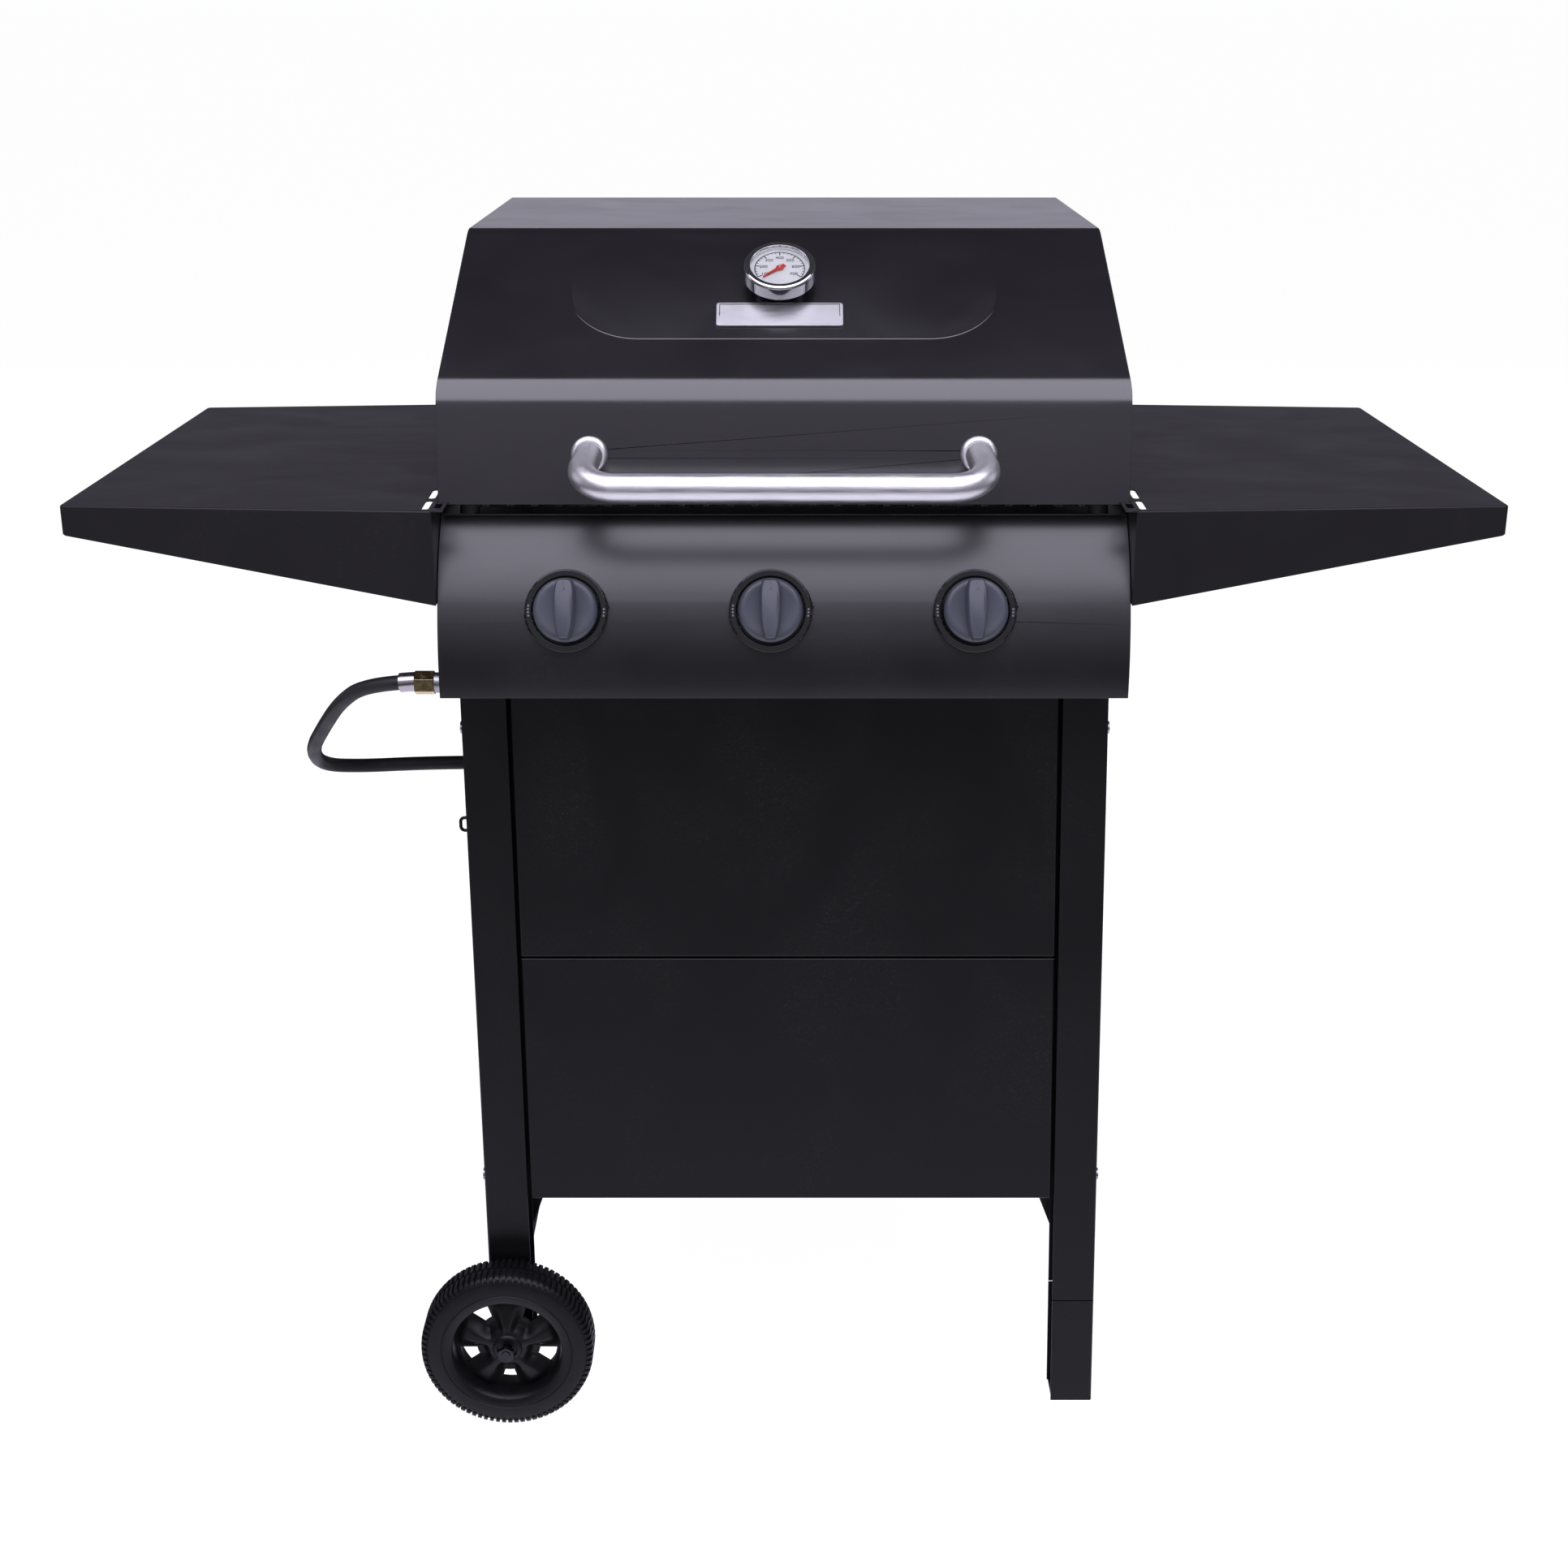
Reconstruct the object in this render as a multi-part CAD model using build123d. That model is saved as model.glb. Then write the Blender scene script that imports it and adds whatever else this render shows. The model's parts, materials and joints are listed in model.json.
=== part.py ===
from build123d import *
import math
import os

# A three-burner gas barbecue grill on a two-wheeled cart, in millimetres.
# +X points to the right as seen from the front, +Y to the back and +Z up.
# The origin lies on the ground under the middle of the grill.

# ---- Driving dimensions -------------------------------------------------------------------
OVERALL_WIDTH = 1300.0        # across both side shelves
HEAD_WIDTH = 625.0            # lid and control panel
SHELF_HEIGHT = 964.0          # top of the side shelves
LID_TOP = 1181.0
FRONT_EDGE = -237.4           # Y of the side shelves' outer front corners
SHEET = 1.2                   # pressed steel sheet
PLATE = 1.5                   # heavier sheet, used for the firebox and the lid's ends
LEFT, RIGHT = -1, 1

HEAD_HALF = HEAD_WIDTH / 2
FAR = 2000.0                  # larger than the whole grill


def back(distance):
    """Y at a distance behind the side shelves' outer front corners."""
    return FRONT_EDGE + distance


# ---- Lid ----------------------------------------------------------------------------------
LID_FRONT = (back(17), 961.0)
LID_LOWER_BEND = (back(36), 1061.5)
LID_UPPER_BEND = (back(226), LID_TOP)
LID_REAR_TOP = (back(535), LID_TOP)
LID_REAR = (back(535), 975.0)
LID_LOWER_RADIUS = 40.0       # of the rounded bends, from the front to the back
LID_UPPER_RADIUS = 28.0
LID_REAR_RADIUS = 15.0
LID_HEM = 28.0                # turned in along the bottom of the lid's front
LID_TAPER_Y = 0.03            # the sides lean in towards the back
LID_TAPER_Z = 0.04            # and towards the top
CAP_INSET = 4.0               # the end caps sit inside the wrap's edges
HINGE_AXIS = (back(512), 972.0)
HINGE_PIN_RADIUS = 4.0
HINGE_LUG_RADIUS = 13.0
RUNNING_GAP = 0.08            # radial, between a pin and the hole that turns on it

SLOPE_RISE = LID_UPPER_BEND[1] - LID_LOWER_BEND[1]
SLOPE_RUN = LID_UPPER_BEND[0] - LID_LOWER_BEND[0]
SLOPE_ANGLE = math.atan2(SLOPE_RISE, SLOPE_RUN)

EMBOSS_HALF_WIDTH = 199.0
EMBOSS_BOTTOM = 68.0          # distances up the slope from the lower bend
EMBOSS_TOP = 156.0
EMBOSS_CORNER = 66.0
EMBOSS_DEPTH = 4.0

GAUGE_X = -4.0
GAUGE_UP = 142.0
GAUGE_RADIUS = 33.5
GAUGE_STAND = 25.0
GAUGE_HOLE_RADIUS = 5.0
BADGE_WIDTH, BADGE_HEIGHT, BADGE_THICK = 117.0, 30.0, 2.0
BADGE_UP = 102.5

HANDLE_HALF = 175.0           # centre of the tube's ends
HANDLE_RADIUS = 12.7
HANDLE_SPLAY = 9.0            # the bar's corners stand this far outside its ends
HANDLE_FOOT_Z = 1005.0
HANDLE_BAR = (back(-40), 989.0)
HANDLE_BEND = 32.0
HANDLE_SCREW_RADIUS = 3.0
FLANGE_RADIUS = 16.5
FLANGE_THICK = 8.0

# ---- Control panel and gas train ----------------------------------------------------------
PANEL_TOP = (back(34), 949.0)
PANEL_MIDDLE = (back(-17), 881.0)
PANEL_BOTTOM = (back(-32), 793.0)
PANEL_HEM = 14.0              # turned in along the panel's bottom
KNOB_PITCH = 184.0
KNOB_MIDDLE_X = -12.0
KNOB_Z = 872.0
KNOB_RADIUS = 29.0
KNOB_LIFT = 7.0               # free height under the knob's skirt
KNOB_TRAVEL = 3.0
BEZEL_RADIUS = 37.5
STEM_RADIUS = 3.5
KNOB_SKIRT = 10.0             # height of the knob's round skirt
GRIP_WIDTH = 19.0
GRIP_HEIGHT = 15.0
PANEL_HOLE_RADIUS = 8.0
VALVE_DEPTH = 44.0            # from the panel's face to the valve's middle
VALVE_RADIUS = 12.0
MANIFOLD_RADIUS = 9.5
MANIFOLD_DROP = 22.0          # the manifold runs this far below the valves
GAS_INLET = (-322.0, back(5), 796.5)
HOSE_RADIUS = 7.0
HOSE_NUT_LENGTH = 18.0
FERRULE_RADIUS = 9.0
FERRULE_LENGTH = 16.0
REGULATOR_RADIUS = 36.0
REGULATOR_HALF_THICK = 15.0
COUPLING_RADIUS = 23.0
COUPLING_LENGTH = 30.0

# ---- Firebox ------------------------------------------------------------------------------
FIREBOX_HALF = 313.0
FIREBOX_Y = (back(62), back(500))
FIREBOX_Z = (803.0, 948.0)
RIM_WIDTH = 32.0
BURNER_RADIUS = 12.0
GRATE_Z = 946.0               # centre of the grates' bars
GRATE_PITCH = 22.0
RACK_Z = 1052.0
RACK_HALF = 286.0
RACK_Y = (back(345), back(475))
DRAIN_Y = back(270)           # the drain hole, the grease cup and its hangers
TRAY_HALF = 145.0
TRAY_Y = (back(120), back(420))
TRAY_Z = (772.0, 795.7)
CUP_RADIUS = 38.0
CUP_Z = (702.0, 752.0)

# ---- Side shelves -------------------------------------------------------------------------
SHELF_TIP_FLAP, SHELF_ROOT_FLAP = 27.0, 87.0
SHELF_ROOT_Y = (back(-22), back(490))
SHELF_TIP_Y = (back(0), back(468))
SHELF_TIP_SLANT = 22.5        # the rear corner lies this far in from the front one
SLOT_WIDTH = 6.0

# ---- Cart ---------------------------------------------------------------------------------
LEG_INNER, LEG_OUTER = 260.0, 303.0
LEG_DEPTH = 38.0
LEG_FRONT_Y = back(24)
LEG_REAR_Y = back(440)
LEG_TOP = 803.0
HEAD_SEAT = 0.16              # a bolt head touches the leaning legs along one edge
LEG_SPLAY = 20.0              # how far the right legs' feet stand outside their tops
FOOT_SEAM = 121.0
PANEL_SEAM = 508.0
PANEL_LOW = 240.0
PANEL_HIGH = 798.0
PANEL_RECESS = 3.0

PANEL_GAP = 3.0               # between a front panel and a leg
SHELF_FLOOR = PANEL_LOW + 12
TANK_RING_RADIUS = 112.0
TANK_SCREW = (7.0, back(82))

WHEEL_RADIUS = 88.0
WHEEL_WIDTH = 40.0
WHEEL_X = -283.0
AXLE_RADIUS = 4.75
WHEEL_GAP = 3.0               # between a wheel and its leg
RIM_INNER = 52.0
HUB_RADIUS = 17.0
SPOKE_COUNT = 5
LUG_COUNT = 60                # in each of the tread's two rows

nodes = {}


# ---- Helpers ------------------------------------------------------------------------------
def block(x, y, z):
    """A box given by its (low, high) pairs."""
    centre = Pos((x[0] + x[1]) / 2, (y[0] + y[1]) / 2, (z[0] + z[1]) / 2)
    return centre * Box(x[1] - x[0], y[1] - y[0], z[1] - z[0])


def post(radius, low, high):
    """A round post along Z between two heights."""
    return Pos(0, 0, low) * Cylinder(radius, high - low, align=(Align.CENTER, Align.CENTER, Align.MIN))


def gathered(shapes):
    """Separate solids kept together as one piece of the assembly."""
    return Compound(children=[shape.solid() for shape in shapes])


def rod(start, end, radius):
    """A round bar between two points."""
    along = Vector(*end) - Vector(*start)
    return extrude(Plane(origin=start, z_dir=along) * Circle(radius), amount=along.length)


def side_outline(points, x):
    """A (Y, Z) outline, extruded between two X values."""
    face = make_face(Polyline(*points, close=True))
    return extrude(Plane.YZ.offset(x[0]) * face, amount=x[1] - x[0])


def front_outline(points, y):
    """An (X, Z) outline, extruded between two Y values."""
    face = make_face(Polyline(*points, close=True))
    return extrude(Plane.XZ.offset(-y[1]) * face, amount=y[1] - y[0])


def plan_outline(points, z):
    """An (X, Y) outline, extruded between two heights."""
    face = make_face(Polyline(*points, close=True))
    return extrude(Plane.XY.offset(z[0]) * face, amount=z[1] - z[0])


def below(plane):
    """Everything on the inner side of a plane."""
    return plane * Pos(0, 0, -FAR / 2) * Box(FAR, FAR, FAR)


def bent_tube(points, bend, radius, wall=0.0):
    """A round tube along straight runs joined by arcs, solid where no wall is given."""
    path = FilletPolyline(*points, radius=bend)
    section = Circle(radius)
    if wall:
        section -= Circle(radius - wall)
    start = Plane(origin=path @ 0, z_dir=path % 0)
    return sweep(start * section, path=path)


def circle_through(a, b, c):
    """Centre and radius of the circle through three points of a plane."""
    d = 2 * (a[0] * (b[1] - c[1]) + b[0] * (c[1] - a[1]) + c[0] * (a[1] - b[1]))
    squares = [p[0] ** 2 + p[1] ** 2 for p in (a, b, c)]
    u = (squares[0] * (b[1] - c[1]) + squares[1] * (c[1] - a[1]) + squares[2] * (a[1] - b[1])) / d
    v = (squares[0] * (c[0] - b[0]) + squares[1] * (a[0] - c[0]) + squares[2] * (b[0] - a[0])) / d
    return (u, v), math.dist((u, v), a)


# ---- Lid ----------------------------------------------------------------------------------
def lid_profile():
    """The lid's outer outline as a face in the (Y, Z) plane."""
    corners = [LID_FRONT, LID_LOWER_BEND, LID_UPPER_BEND, LID_REAR_TOP, LID_REAR]
    face = make_face(Polyline(*corners, close=True))
    for corner, radius in ((LID_LOWER_BEND, LID_LOWER_RADIUS), (LID_UPPER_BEND, LID_UPPER_RADIUS),
                           (LID_REAR_TOP, LID_REAR_RADIUS)):
        vertex = face.vertices().sort_by_distance((*corner, 0))[0]
        face = fillet(vertex, radius=radius)
    return face


def lid_region(inset):
    """The space between the lid's two sides, each moved in by the inset."""
    half = HEAD_HALF - inset
    region = block((-half, half), (-FAR, FAR), (0, FAR))
    for side in (LEFT, RIGHT):
        normal = Vector(side, LID_TAPER_Y, LID_TAPER_Z).normalized()
        origin = Vector(side * HEAD_HALF, *LID_LOWER_BEND) - normal * inset
        region &= below(Plane(origin=origin, z_dir=normal))
    return region


SLOPE = Plane(origin=(0, *LID_LOWER_BEND), x_dir=(1, 0, 0),
              z_dir=(0, -math.sin(SLOPE_ANGLE), math.cos(SLOPE_ANGLE)))


def recess_floor(drop):
    """The embossed recess's floor, moved down by a distance, as a plane facing outward."""
    tilt = math.degrees(math.atan2(EMBOSS_DEPTH, EMBOSS_TOP - EMBOSS_BOTTOM))
    return SLOPE * Pos(0, EMBOSS_TOP, -drop) * Rot(tilt, 0, 0)


def emboss_tool(grow, top, drop):
    """The recess's space: its outline grown, up to a height, above the floor moved down."""
    height = EMBOSS_TOP - EMBOSS_BOTTOM
    outline = Pos(0, (EMBOSS_TOP + EMBOSS_BOTTOM) / 2) * Rectangle(2 * EMBOSS_HALF_WIDTH, height)
    low_corners = outline.vertices().sort_by(Axis.Y)[:2]
    outline = fillet(low_corners, radius=EMBOSS_CORNER)
    if grow:
        outline = offset(outline, grow)
    tool = SLOPE * Pos(0, 0, -3 * EMBOSS_DEPTH) * extrude(outline, amount=3 * EMBOSS_DEPTH + top)
    return tool - recess_floor(drop) * Pos(0, 0, -FAR / 2) * Box(FAR, FAR, FAR)


GAUGE_PLANE = SLOPE * Pos(GAUGE_X, GAUGE_UP, 0)
LID_LEAN = (LID_LOWER_BEND[0] - LID_FRONT[0]) / (LID_LOWER_BEND[1] - LID_FRONT[1])


def handle_foot_y():
    """Y of the lid's front face at the handle's feet."""
    return LID_FRONT[0] + (HANDLE_FOOT_Z - LID_FRONT[1]) * LID_LEAN


def make_lid():
    outer = lid_profile()
    inner = offset(outer, -SHEET)
    span = Plane.YZ.offset(-HEAD_HALF)
    wrap = extrude(span * outer, amount=HEAD_WIDTH) - extrude(span * inner, amount=HEAD_WIDTH)
    front, floor, rear = LID_FRONT[0] + SHEET, LID_FRONT[1], LID_REAR[0] - SHEET
    below_floor = floor - 11
    mouth = side_outline([(front, below_floor), (front + 0.4, floor + 3), (rear, LID_REAR[1] + 5),
                          (rear, below_floor)], (-HEAD_HALF, HEAD_HALF))
    wrap -= mouth
    wrap += block((-HEAD_HALF, HEAD_HALF), (LID_FRONT[0] + 1, LID_FRONT[0] + 1 + LID_HEM),
                  (floor, floor + SHEET))
    wrap += emboss_tool(SHEET, 0, SHEET)
    wrap -= emboss_tool(0, 3, 0)
    wrap &= lid_region(0)
    wrap -= GAUGE_PLANE * Cylinder(GAUGE_HOLE_RADIUS, 40)
    foot_y = handle_foot_y()
    for side in (LEFT, RIGHT):
        x = side * HANDLE_HALF
        wrap -= rod((x, foot_y - 20, HANDLE_FOOT_Z), (x, foot_y + 20, HANDLE_FOOT_Z), HANDLE_SCREW_RADIUS)
    nodes["lid_shell"] = wrap

    lining = extrude(span * inner, amount=HEAD_WIDTH)
    lining -= block((-FAR, FAR), (-FAR, LID_FRONT[0] + 2 + LID_HEM), (0, floor + SHEET))
    lining -= emboss_tool(SHEET, 0, SHEET)
    cap_space = lid_region(CAP_INSET) - lid_region(CAP_INSET + PLATE)
    caps = lining & cap_space
    lugs = rod((-HEAD_HALF, *HINGE_AXIS), (HEAD_HALF, *HINGE_AXIS), HINGE_LUG_RADIUS) & cap_space
    caps += lugs
    caps -= rod((-HEAD_HALF, *HINGE_AXIS), (HEAD_HALF, *HINGE_AXIS), HINGE_PIN_RADIUS + RUNNING_GAP)
    for name, side in (("lid_end_cap_left", LEFT), ("lid_end_cap_right", RIGHT)):
        half = block(sorted((0, side * FAR)), (-FAR, FAR), (0, FAR))
        nodes[name] = caps & half


def make_handle():
    normal = Vector(0, -1, LID_LEAN).normalized()
    foot = Vector(0, handle_foot_y(), HANDLE_FOOT_Z)
    flanges = []
    for side in (LEFT, RIGHT):
        face = Plane(origin=foot + Vector(side * HANDLE_HALF, 0, 0), x_dir=(1, 0, 0), z_dir=normal)
        cup = extrude(face * Circle(FLANGE_RADIUS), amount=FLANGE_THICK)
        front_rim = cup.edges().filter_by(GeomType.CIRCLE).sort_by(Axis.Y)[0]
        flanges.append(fillet(front_rim, radius=FLANGE_THICK / 2))
    start = foot + normal * FLANGE_THICK
    corner_x = HANDLE_HALF + HANDLE_SPLAY
    points = [(LEFT * HANDLE_HALF, start.Y, start.Z), (LEFT * corner_x, *HANDLE_BAR),
              (RIGHT * corner_x, *HANDLE_BAR), (RIGHT * HANDLE_HALF, start.Y, start.Z)]
    tube = bent_tube(points, HANDLE_BEND, HANDLE_RADIUS, 1.5)
    face_space = Plane(origin=(0, start.Y, start.Z), x_dir=(1, 0, 0), z_dir=normal)
    nodes["handle_tube"] = tube - below(face_space)
    nodes["handle_flanges"] = gathered(flanges)


def make_gauge():
    bezel_low, dial_floor = GAUGE_STAND - 14, GAUGE_STAND - 7
    face_radius = GAUGE_RADIUS - 6
    can = post(GAUGE_RADIUS - 11, 0, bezel_low)
    bezel = post(GAUGE_RADIUS, bezel_low, GAUGE_STAND)
    bezel = fillet(bezel.edges().filter_by(GeomType.CIRCLE).sort_by(Axis.Z)[-1], radius=3)
    well = post(face_radius, dial_floor, GAUGE_STAND + 1)
    probe = post(3, -60, 0)
    nut = Pos(0, 0, -8) * extrude(RegularPolygon(8, 6), amount=5)
    nodes["gauge_body"] = GAUGE_PLANE * (can + bezel - well + probe + nut)
    pivot_radius, dial_thick, needle_thick = 1.0, 1.0, 0.8
    dial = post(face_radius, dial_floor, dial_floor + dial_thick)
    pivot = post(pivot_radius, dial_floor, dial_floor + 4)
    nodes["gauge_dial"] = GAUGE_PLANE * (dial + pivot)
    pointer = extrude(make_face(Polyline((-2, -6), (2, -6), (0.6, 20), (-0.6, 20), close=True)),
                      amount=needle_thick)
    pointer += post(3.5, 0, needle_thick)
    pointer -= post(pivot_radius + RUNNING_GAP, -1, needle_thick + 1)
    cold = Rot(0, 0, 130)         # the needle points to the scale's low end
    nodes["gauge_needle"] = GAUGE_PLANE * Pos(0, 0, dial_floor + 2) * cold * pointer
    nodes["gauge_lens"] = GAUGE_PLANE * post(face_radius, GAUGE_STAND - 3.4, GAUGE_STAND - 1.6)


def make_badge():
    face = fillet(Rectangle(BADGE_WIDTH, BADGE_HEIGHT).vertices(), radius=3)
    plate = extrude(face, amount=BADGE_THICK)
    nodes["badge"] = recess_floor(0) * Pos(GAUGE_X, BADGE_UP - EMBOSS_TOP, 0) * plate


def make_hinges():
    plate_x, cap_x, head_x = 286.0, HEAD_HALF - 13, HEAD_HALF - 10.5
    thick, rear, (axis_y, axis_z) = 3.0, FIREBOX_Y[1], HINGE_AXIS
    foot_low, foot_high, tip_z = 925.0, 945.0, axis_z + 12
    brackets, pins = [], []
    for side in (LEFT, RIGHT):
        x = sorted((side * plate_x, side * (plate_x + thick)))
        arm = side_outline([(rear, foot_low), (rear + 7, foot_low), (axis_y, axis_z - 14),
                            (axis_y, tip_z), (rear, tip_z)], x)
        arm += rod((x[0], *HINGE_AXIS), (x[1], *HINGE_AXIS), tip_z - axis_z)
        arm += block(sorted((side * (plate_x - 28), side * (plate_x + thick))), (rear, rear + PLATE),
                     (foot_low, foot_high))
        arm -= rod((x[0] - 1, *HINGE_AXIS), (x[1] + 1, *HINGE_AXIS), HINGE_PIN_RADIUS)
        brackets.append(arm)
        pin = rod((side * (plate_x - 1), *HINGE_AXIS), (side * cap_x, *HINGE_AXIS), HINGE_PIN_RADIUS)
        pins.append(pin + rod((side * cap_x, *HINGE_AXIS), (side * head_x, *HINGE_AXIS), 7))
    nodes["hinge_brackets"] = gathered(brackets)
    nodes["hinge_pins"] = gathered(pins)


# ---- Firebox and what it holds ------------------------------------------------------------
def knob_x(index):
    """X of a knob and its burner: 0 is the left one, 1 the middle and 2 the right."""
    return KNOB_MIDDLE_X + (index - 1) * KNOB_PITCH


def panel_circle():
    return circle_through(PANEL_TOP, PANEL_MIDDLE, PANEL_BOTTOM)


def knob_plane(index):
    """A plane on the control panel's face under a knob, facing outward."""
    (cy, cz), radius = panel_circle()
    rise = KNOB_Z - cz
    y = cy - math.sqrt(radius ** 2 - rise ** 2)
    return Plane(origin=(knob_x(index), y, KNOB_Z), x_dir=(1, 0, 0),
                 z_dir=(0, (y - cy) / radius, rise / radius))


def valve_centre(index):
    plane = knob_plane(index)
    return plane.origin - plane.z_dir * VALVE_DEPTH


def make_firebox():
    x, y, z = (-FIREBOX_HALF, FIREBOX_HALF), FIREBOX_Y, FIREBOX_Z
    inside = block((x[0] + PLATE, x[1] - PLATE), (y[0] + PLATE, y[1] - PLATE), (z[0] + PLATE, z[1] + 10))
    tub = block(x, y, z) - inside
    track_inner, track_foot = TRAY_HALF + 2.5, TRAY_HALF + 11
    track_low = TRAY_Z[1] - 3.2
    track_y = (y[0] + 40, y[1] - 20)
    for side in (LEFT, RIGHT):
        wall, rim_edge = side * FIREBOX_HALF, side * (FIREBOX_HALF - RIM_WIDTH)
        tub += block(sorted((wall, rim_edge)), y, (z[1] - PLATE, z[1]))
        track_outer = side * (track_foot + PLATE)
        tub += block(sorted((side * track_foot, track_outer)), track_y, (track_low, z[0]))
        tub += block(sorted((side * track_inner, track_outer)), track_y, (track_low, track_low + PLATE))
    ledge_depth, ledge_top = 14.0, GRATE_Z - 7.5
    for ledge_y in ((y[0], y[0] + ledge_depth), (y[1] - ledge_depth, y[1])):
        tub += block(x, ledge_y, (ledge_top - PLATE, ledge_top))
    tub -= Pos(0, DRAIN_Y, z[0]) * Cylinder(50, 10)
    for index in range(3):
        centre = valve_centre(index)
        tub -= rod((centre.X, y[0] - 5, centre.Z), (centre.X, y[0] + 5, centre.Z), BURNER_RADIUS)
    nodes["firebox"] = tub


def make_burners():
    burners, tents = [], []
    tent_low, tent_high, tent_half, tent_sheet = 885.0, 912.0, 58.0, SHEET * 1.1
    burner_end = FIREBOX_Y[1] - 22
    for index in range(3):
        centre = valve_centre(index)
        x, z = centre.X, centre.Z
        tube = rod((x, FIREBOX_Y[0], z), (x, burner_end, z), BURNER_RADIUS)
        tube -= rod((x, FIREBOX_Y[0] - 1, z), (x, burner_end - 2, z), BURNER_RADIUS - 1)
        tube += block((x - 8, x + 8), (burner_end, FIREBOX_Y[1] - PLATE), (z - 1, z + 1))
        burners.append(tube)
        roof = front_outline([(x - tent_half, tent_low), (x, tent_high), (x + tent_half, tent_low),
                              (x + tent_half, tent_low - tent_sheet), (x, tent_high - tent_sheet),
                              (x - tent_half, tent_low - tent_sheet)],
                             (FIREBOX_Y[0] + PLATE, FIREBOX_Y[1] - PLATE))
        tents.append(roof)
    nodes["burners"] = gathered(burners)
    nodes["heat_tents"] = gathered(tents)


def make_grate(x_low, x_high):
    """A wire cooking grate: bars from front to back, crossed by three below."""
    y_low, y_high = FIREBOX_Y[0] + PLATE + 1, FIREBOX_Y[1] - PLATE - 1
    wire = 3.0
    cross_z = GRATE_Z - 4.0
    first, last = x_low + wire, x_high - wire
    count = int((last - first) / GRATE_PITCH)
    step = (last - first) / count
    grate = rod((x_low, y_low + 17, cross_z), (x_high, y_low + 17, cross_z), wire)
    for cross_y in ((y_low + y_high) / 2, y_high - 17):
        grate += rod((x_low, cross_y, cross_z), (x_high, cross_y, cross_z), wire)
    places = [first + i * step for i in range(count + 1)]
    return grate + [rod((x, y_low, GRATE_Z), (x, y_high, GRATE_Z), wire) for x in places]


def make_grates():
    edge = FIREBOX_HALF - RIM_WIDTH - 1
    nodes["cooking_grates"] = gathered([make_grate(-edge, -1), make_grate(1, edge)])


def make_warming_rack():
    wire, gaps = 2.5, 23
    rack = rod((-RACK_HALF, RACK_Y[0], RACK_Z), (RACK_HALF, RACK_Y[0], RACK_Z), wire)
    rack += rod((-RACK_HALF, RACK_Y[1], RACK_Z), (RACK_HALF, RACK_Y[1], RACK_Z), wire)
    for i in range(gaps + 1):
        x = -RACK_HALF + i * 2 * RACK_HALF / gaps
        rack += rod((x, RACK_Y[0], RACK_Z + wire), (x, RACK_Y[1], RACK_Z + wire), wire)
    for x in (-RACK_HALF, RACK_HALF):
        for y in RACK_Y:
            rack += rod((x, y, FIREBOX_Z[1]), (x, y, RACK_Z), wire)
    nodes["warming_rack"] = rack


def make_grease_parts():
    wall, lip, wire = 1.0, 9.0, 1.5
    (low, top), (front, rear) = TRAY_Z, TRAY_Y
    tray = block((-TRAY_HALF, TRAY_HALF), TRAY_Y, TRAY_Z)
    tray -= block((wall - TRAY_HALF, TRAY_HALF - wall), (front + wall, rear - wall), (low + wall, top + 5))
    for side in (LEFT, RIGHT):
        lip_x = sorted((side * (TRAY_HALF - wall), side * (TRAY_HALF + lip)))
        tray += block(lip_x, TRAY_Y, (top - wall, top))
    tray -= Pos(0, DRAIN_Y, low) * Cylinder(8, 10)
    nodes["grease_tray"] = tray
    cup = post(CUP_RADIUS, *CUP_Z) - post(CUP_RADIUS - wall, CUP_Z[0] + wall, CUP_Z[1] + 1)
    nodes["grease_cup"] = Pos(0, DRAIN_Y, 0) * cup
    hangers = []
    hook_z = CUP_Z[1] - 7
    for side in (LEFT, RIGHT):
        x = side * (CUP_RADIUS + wire)
        hanger = rod((x, DRAIN_Y, hook_z), (x, DRAIN_Y, low), wire)
        hangers.append(hanger + rod((x, DRAIN_Y, hook_z), (x - side * (wire - 0.05), DRAIN_Y, hook_z), wire))
    nodes["grease_cup_hangers"] = gathered(hangers)


# ---- Control panel, knobs and gas train ---------------------------------------------------
def make_control_panel():
    (cy, cz), radius = panel_circle()
    window = block((-HEAD_HALF, HEAD_HALF), (back(-80), PANEL_TOP[0]), (PANEL_BOTTOM[1], PANEL_TOP[1]))
    tube = rod((-HEAD_HALF, cy, cz), (HEAD_HALF, cy, cz), radius)
    panel = (tube - rod((-HEAD_HALF, cy, cz), (HEAD_HALF, cy, cz), radius - SHEET)) & window
    rear = FIREBOX_Y[0]
    panel += block((-HEAD_HALF, HEAD_HALF), (PANEL_TOP[0] - 2, rear), (PANEL_TOP[1] - SHEET, PANEL_TOP[1]))
    panel += block((-HEAD_HALF, HEAD_HALF), (PANEL_BOTTOM[0] + SHEET / 2, PANEL_BOTTOM[0] + PANEL_HEM),
                   (PANEL_BOTTOM[1], PANEL_BOTTOM[1] + SHEET))
    for side in (LEFT, RIGHT):
        x = sorted((side * (HEAD_HALF - SHEET), side * HEAD_HALF))
        end = rod((x[0], cy, cz), (x[1], cy, cz), radius)
        panel += end & block((-FAR, FAR), (back(-80), rear), (PANEL_BOTTOM[1], PANEL_TOP[1]))
    notch_half = 12
    panel -= block((-FAR / 2, -HEAD_HALF + 5), (GAS_INLET[1] - notch_half, GAS_INLET[1] + notch_half),
                   (700, GAS_INLET[2] + notch_half))
    for index in range(3):
        panel -= knob_plane(index) * Cylinder(PANEL_HOLE_RADIUS, 30)
    nodes["control_panel"] = panel


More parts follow.
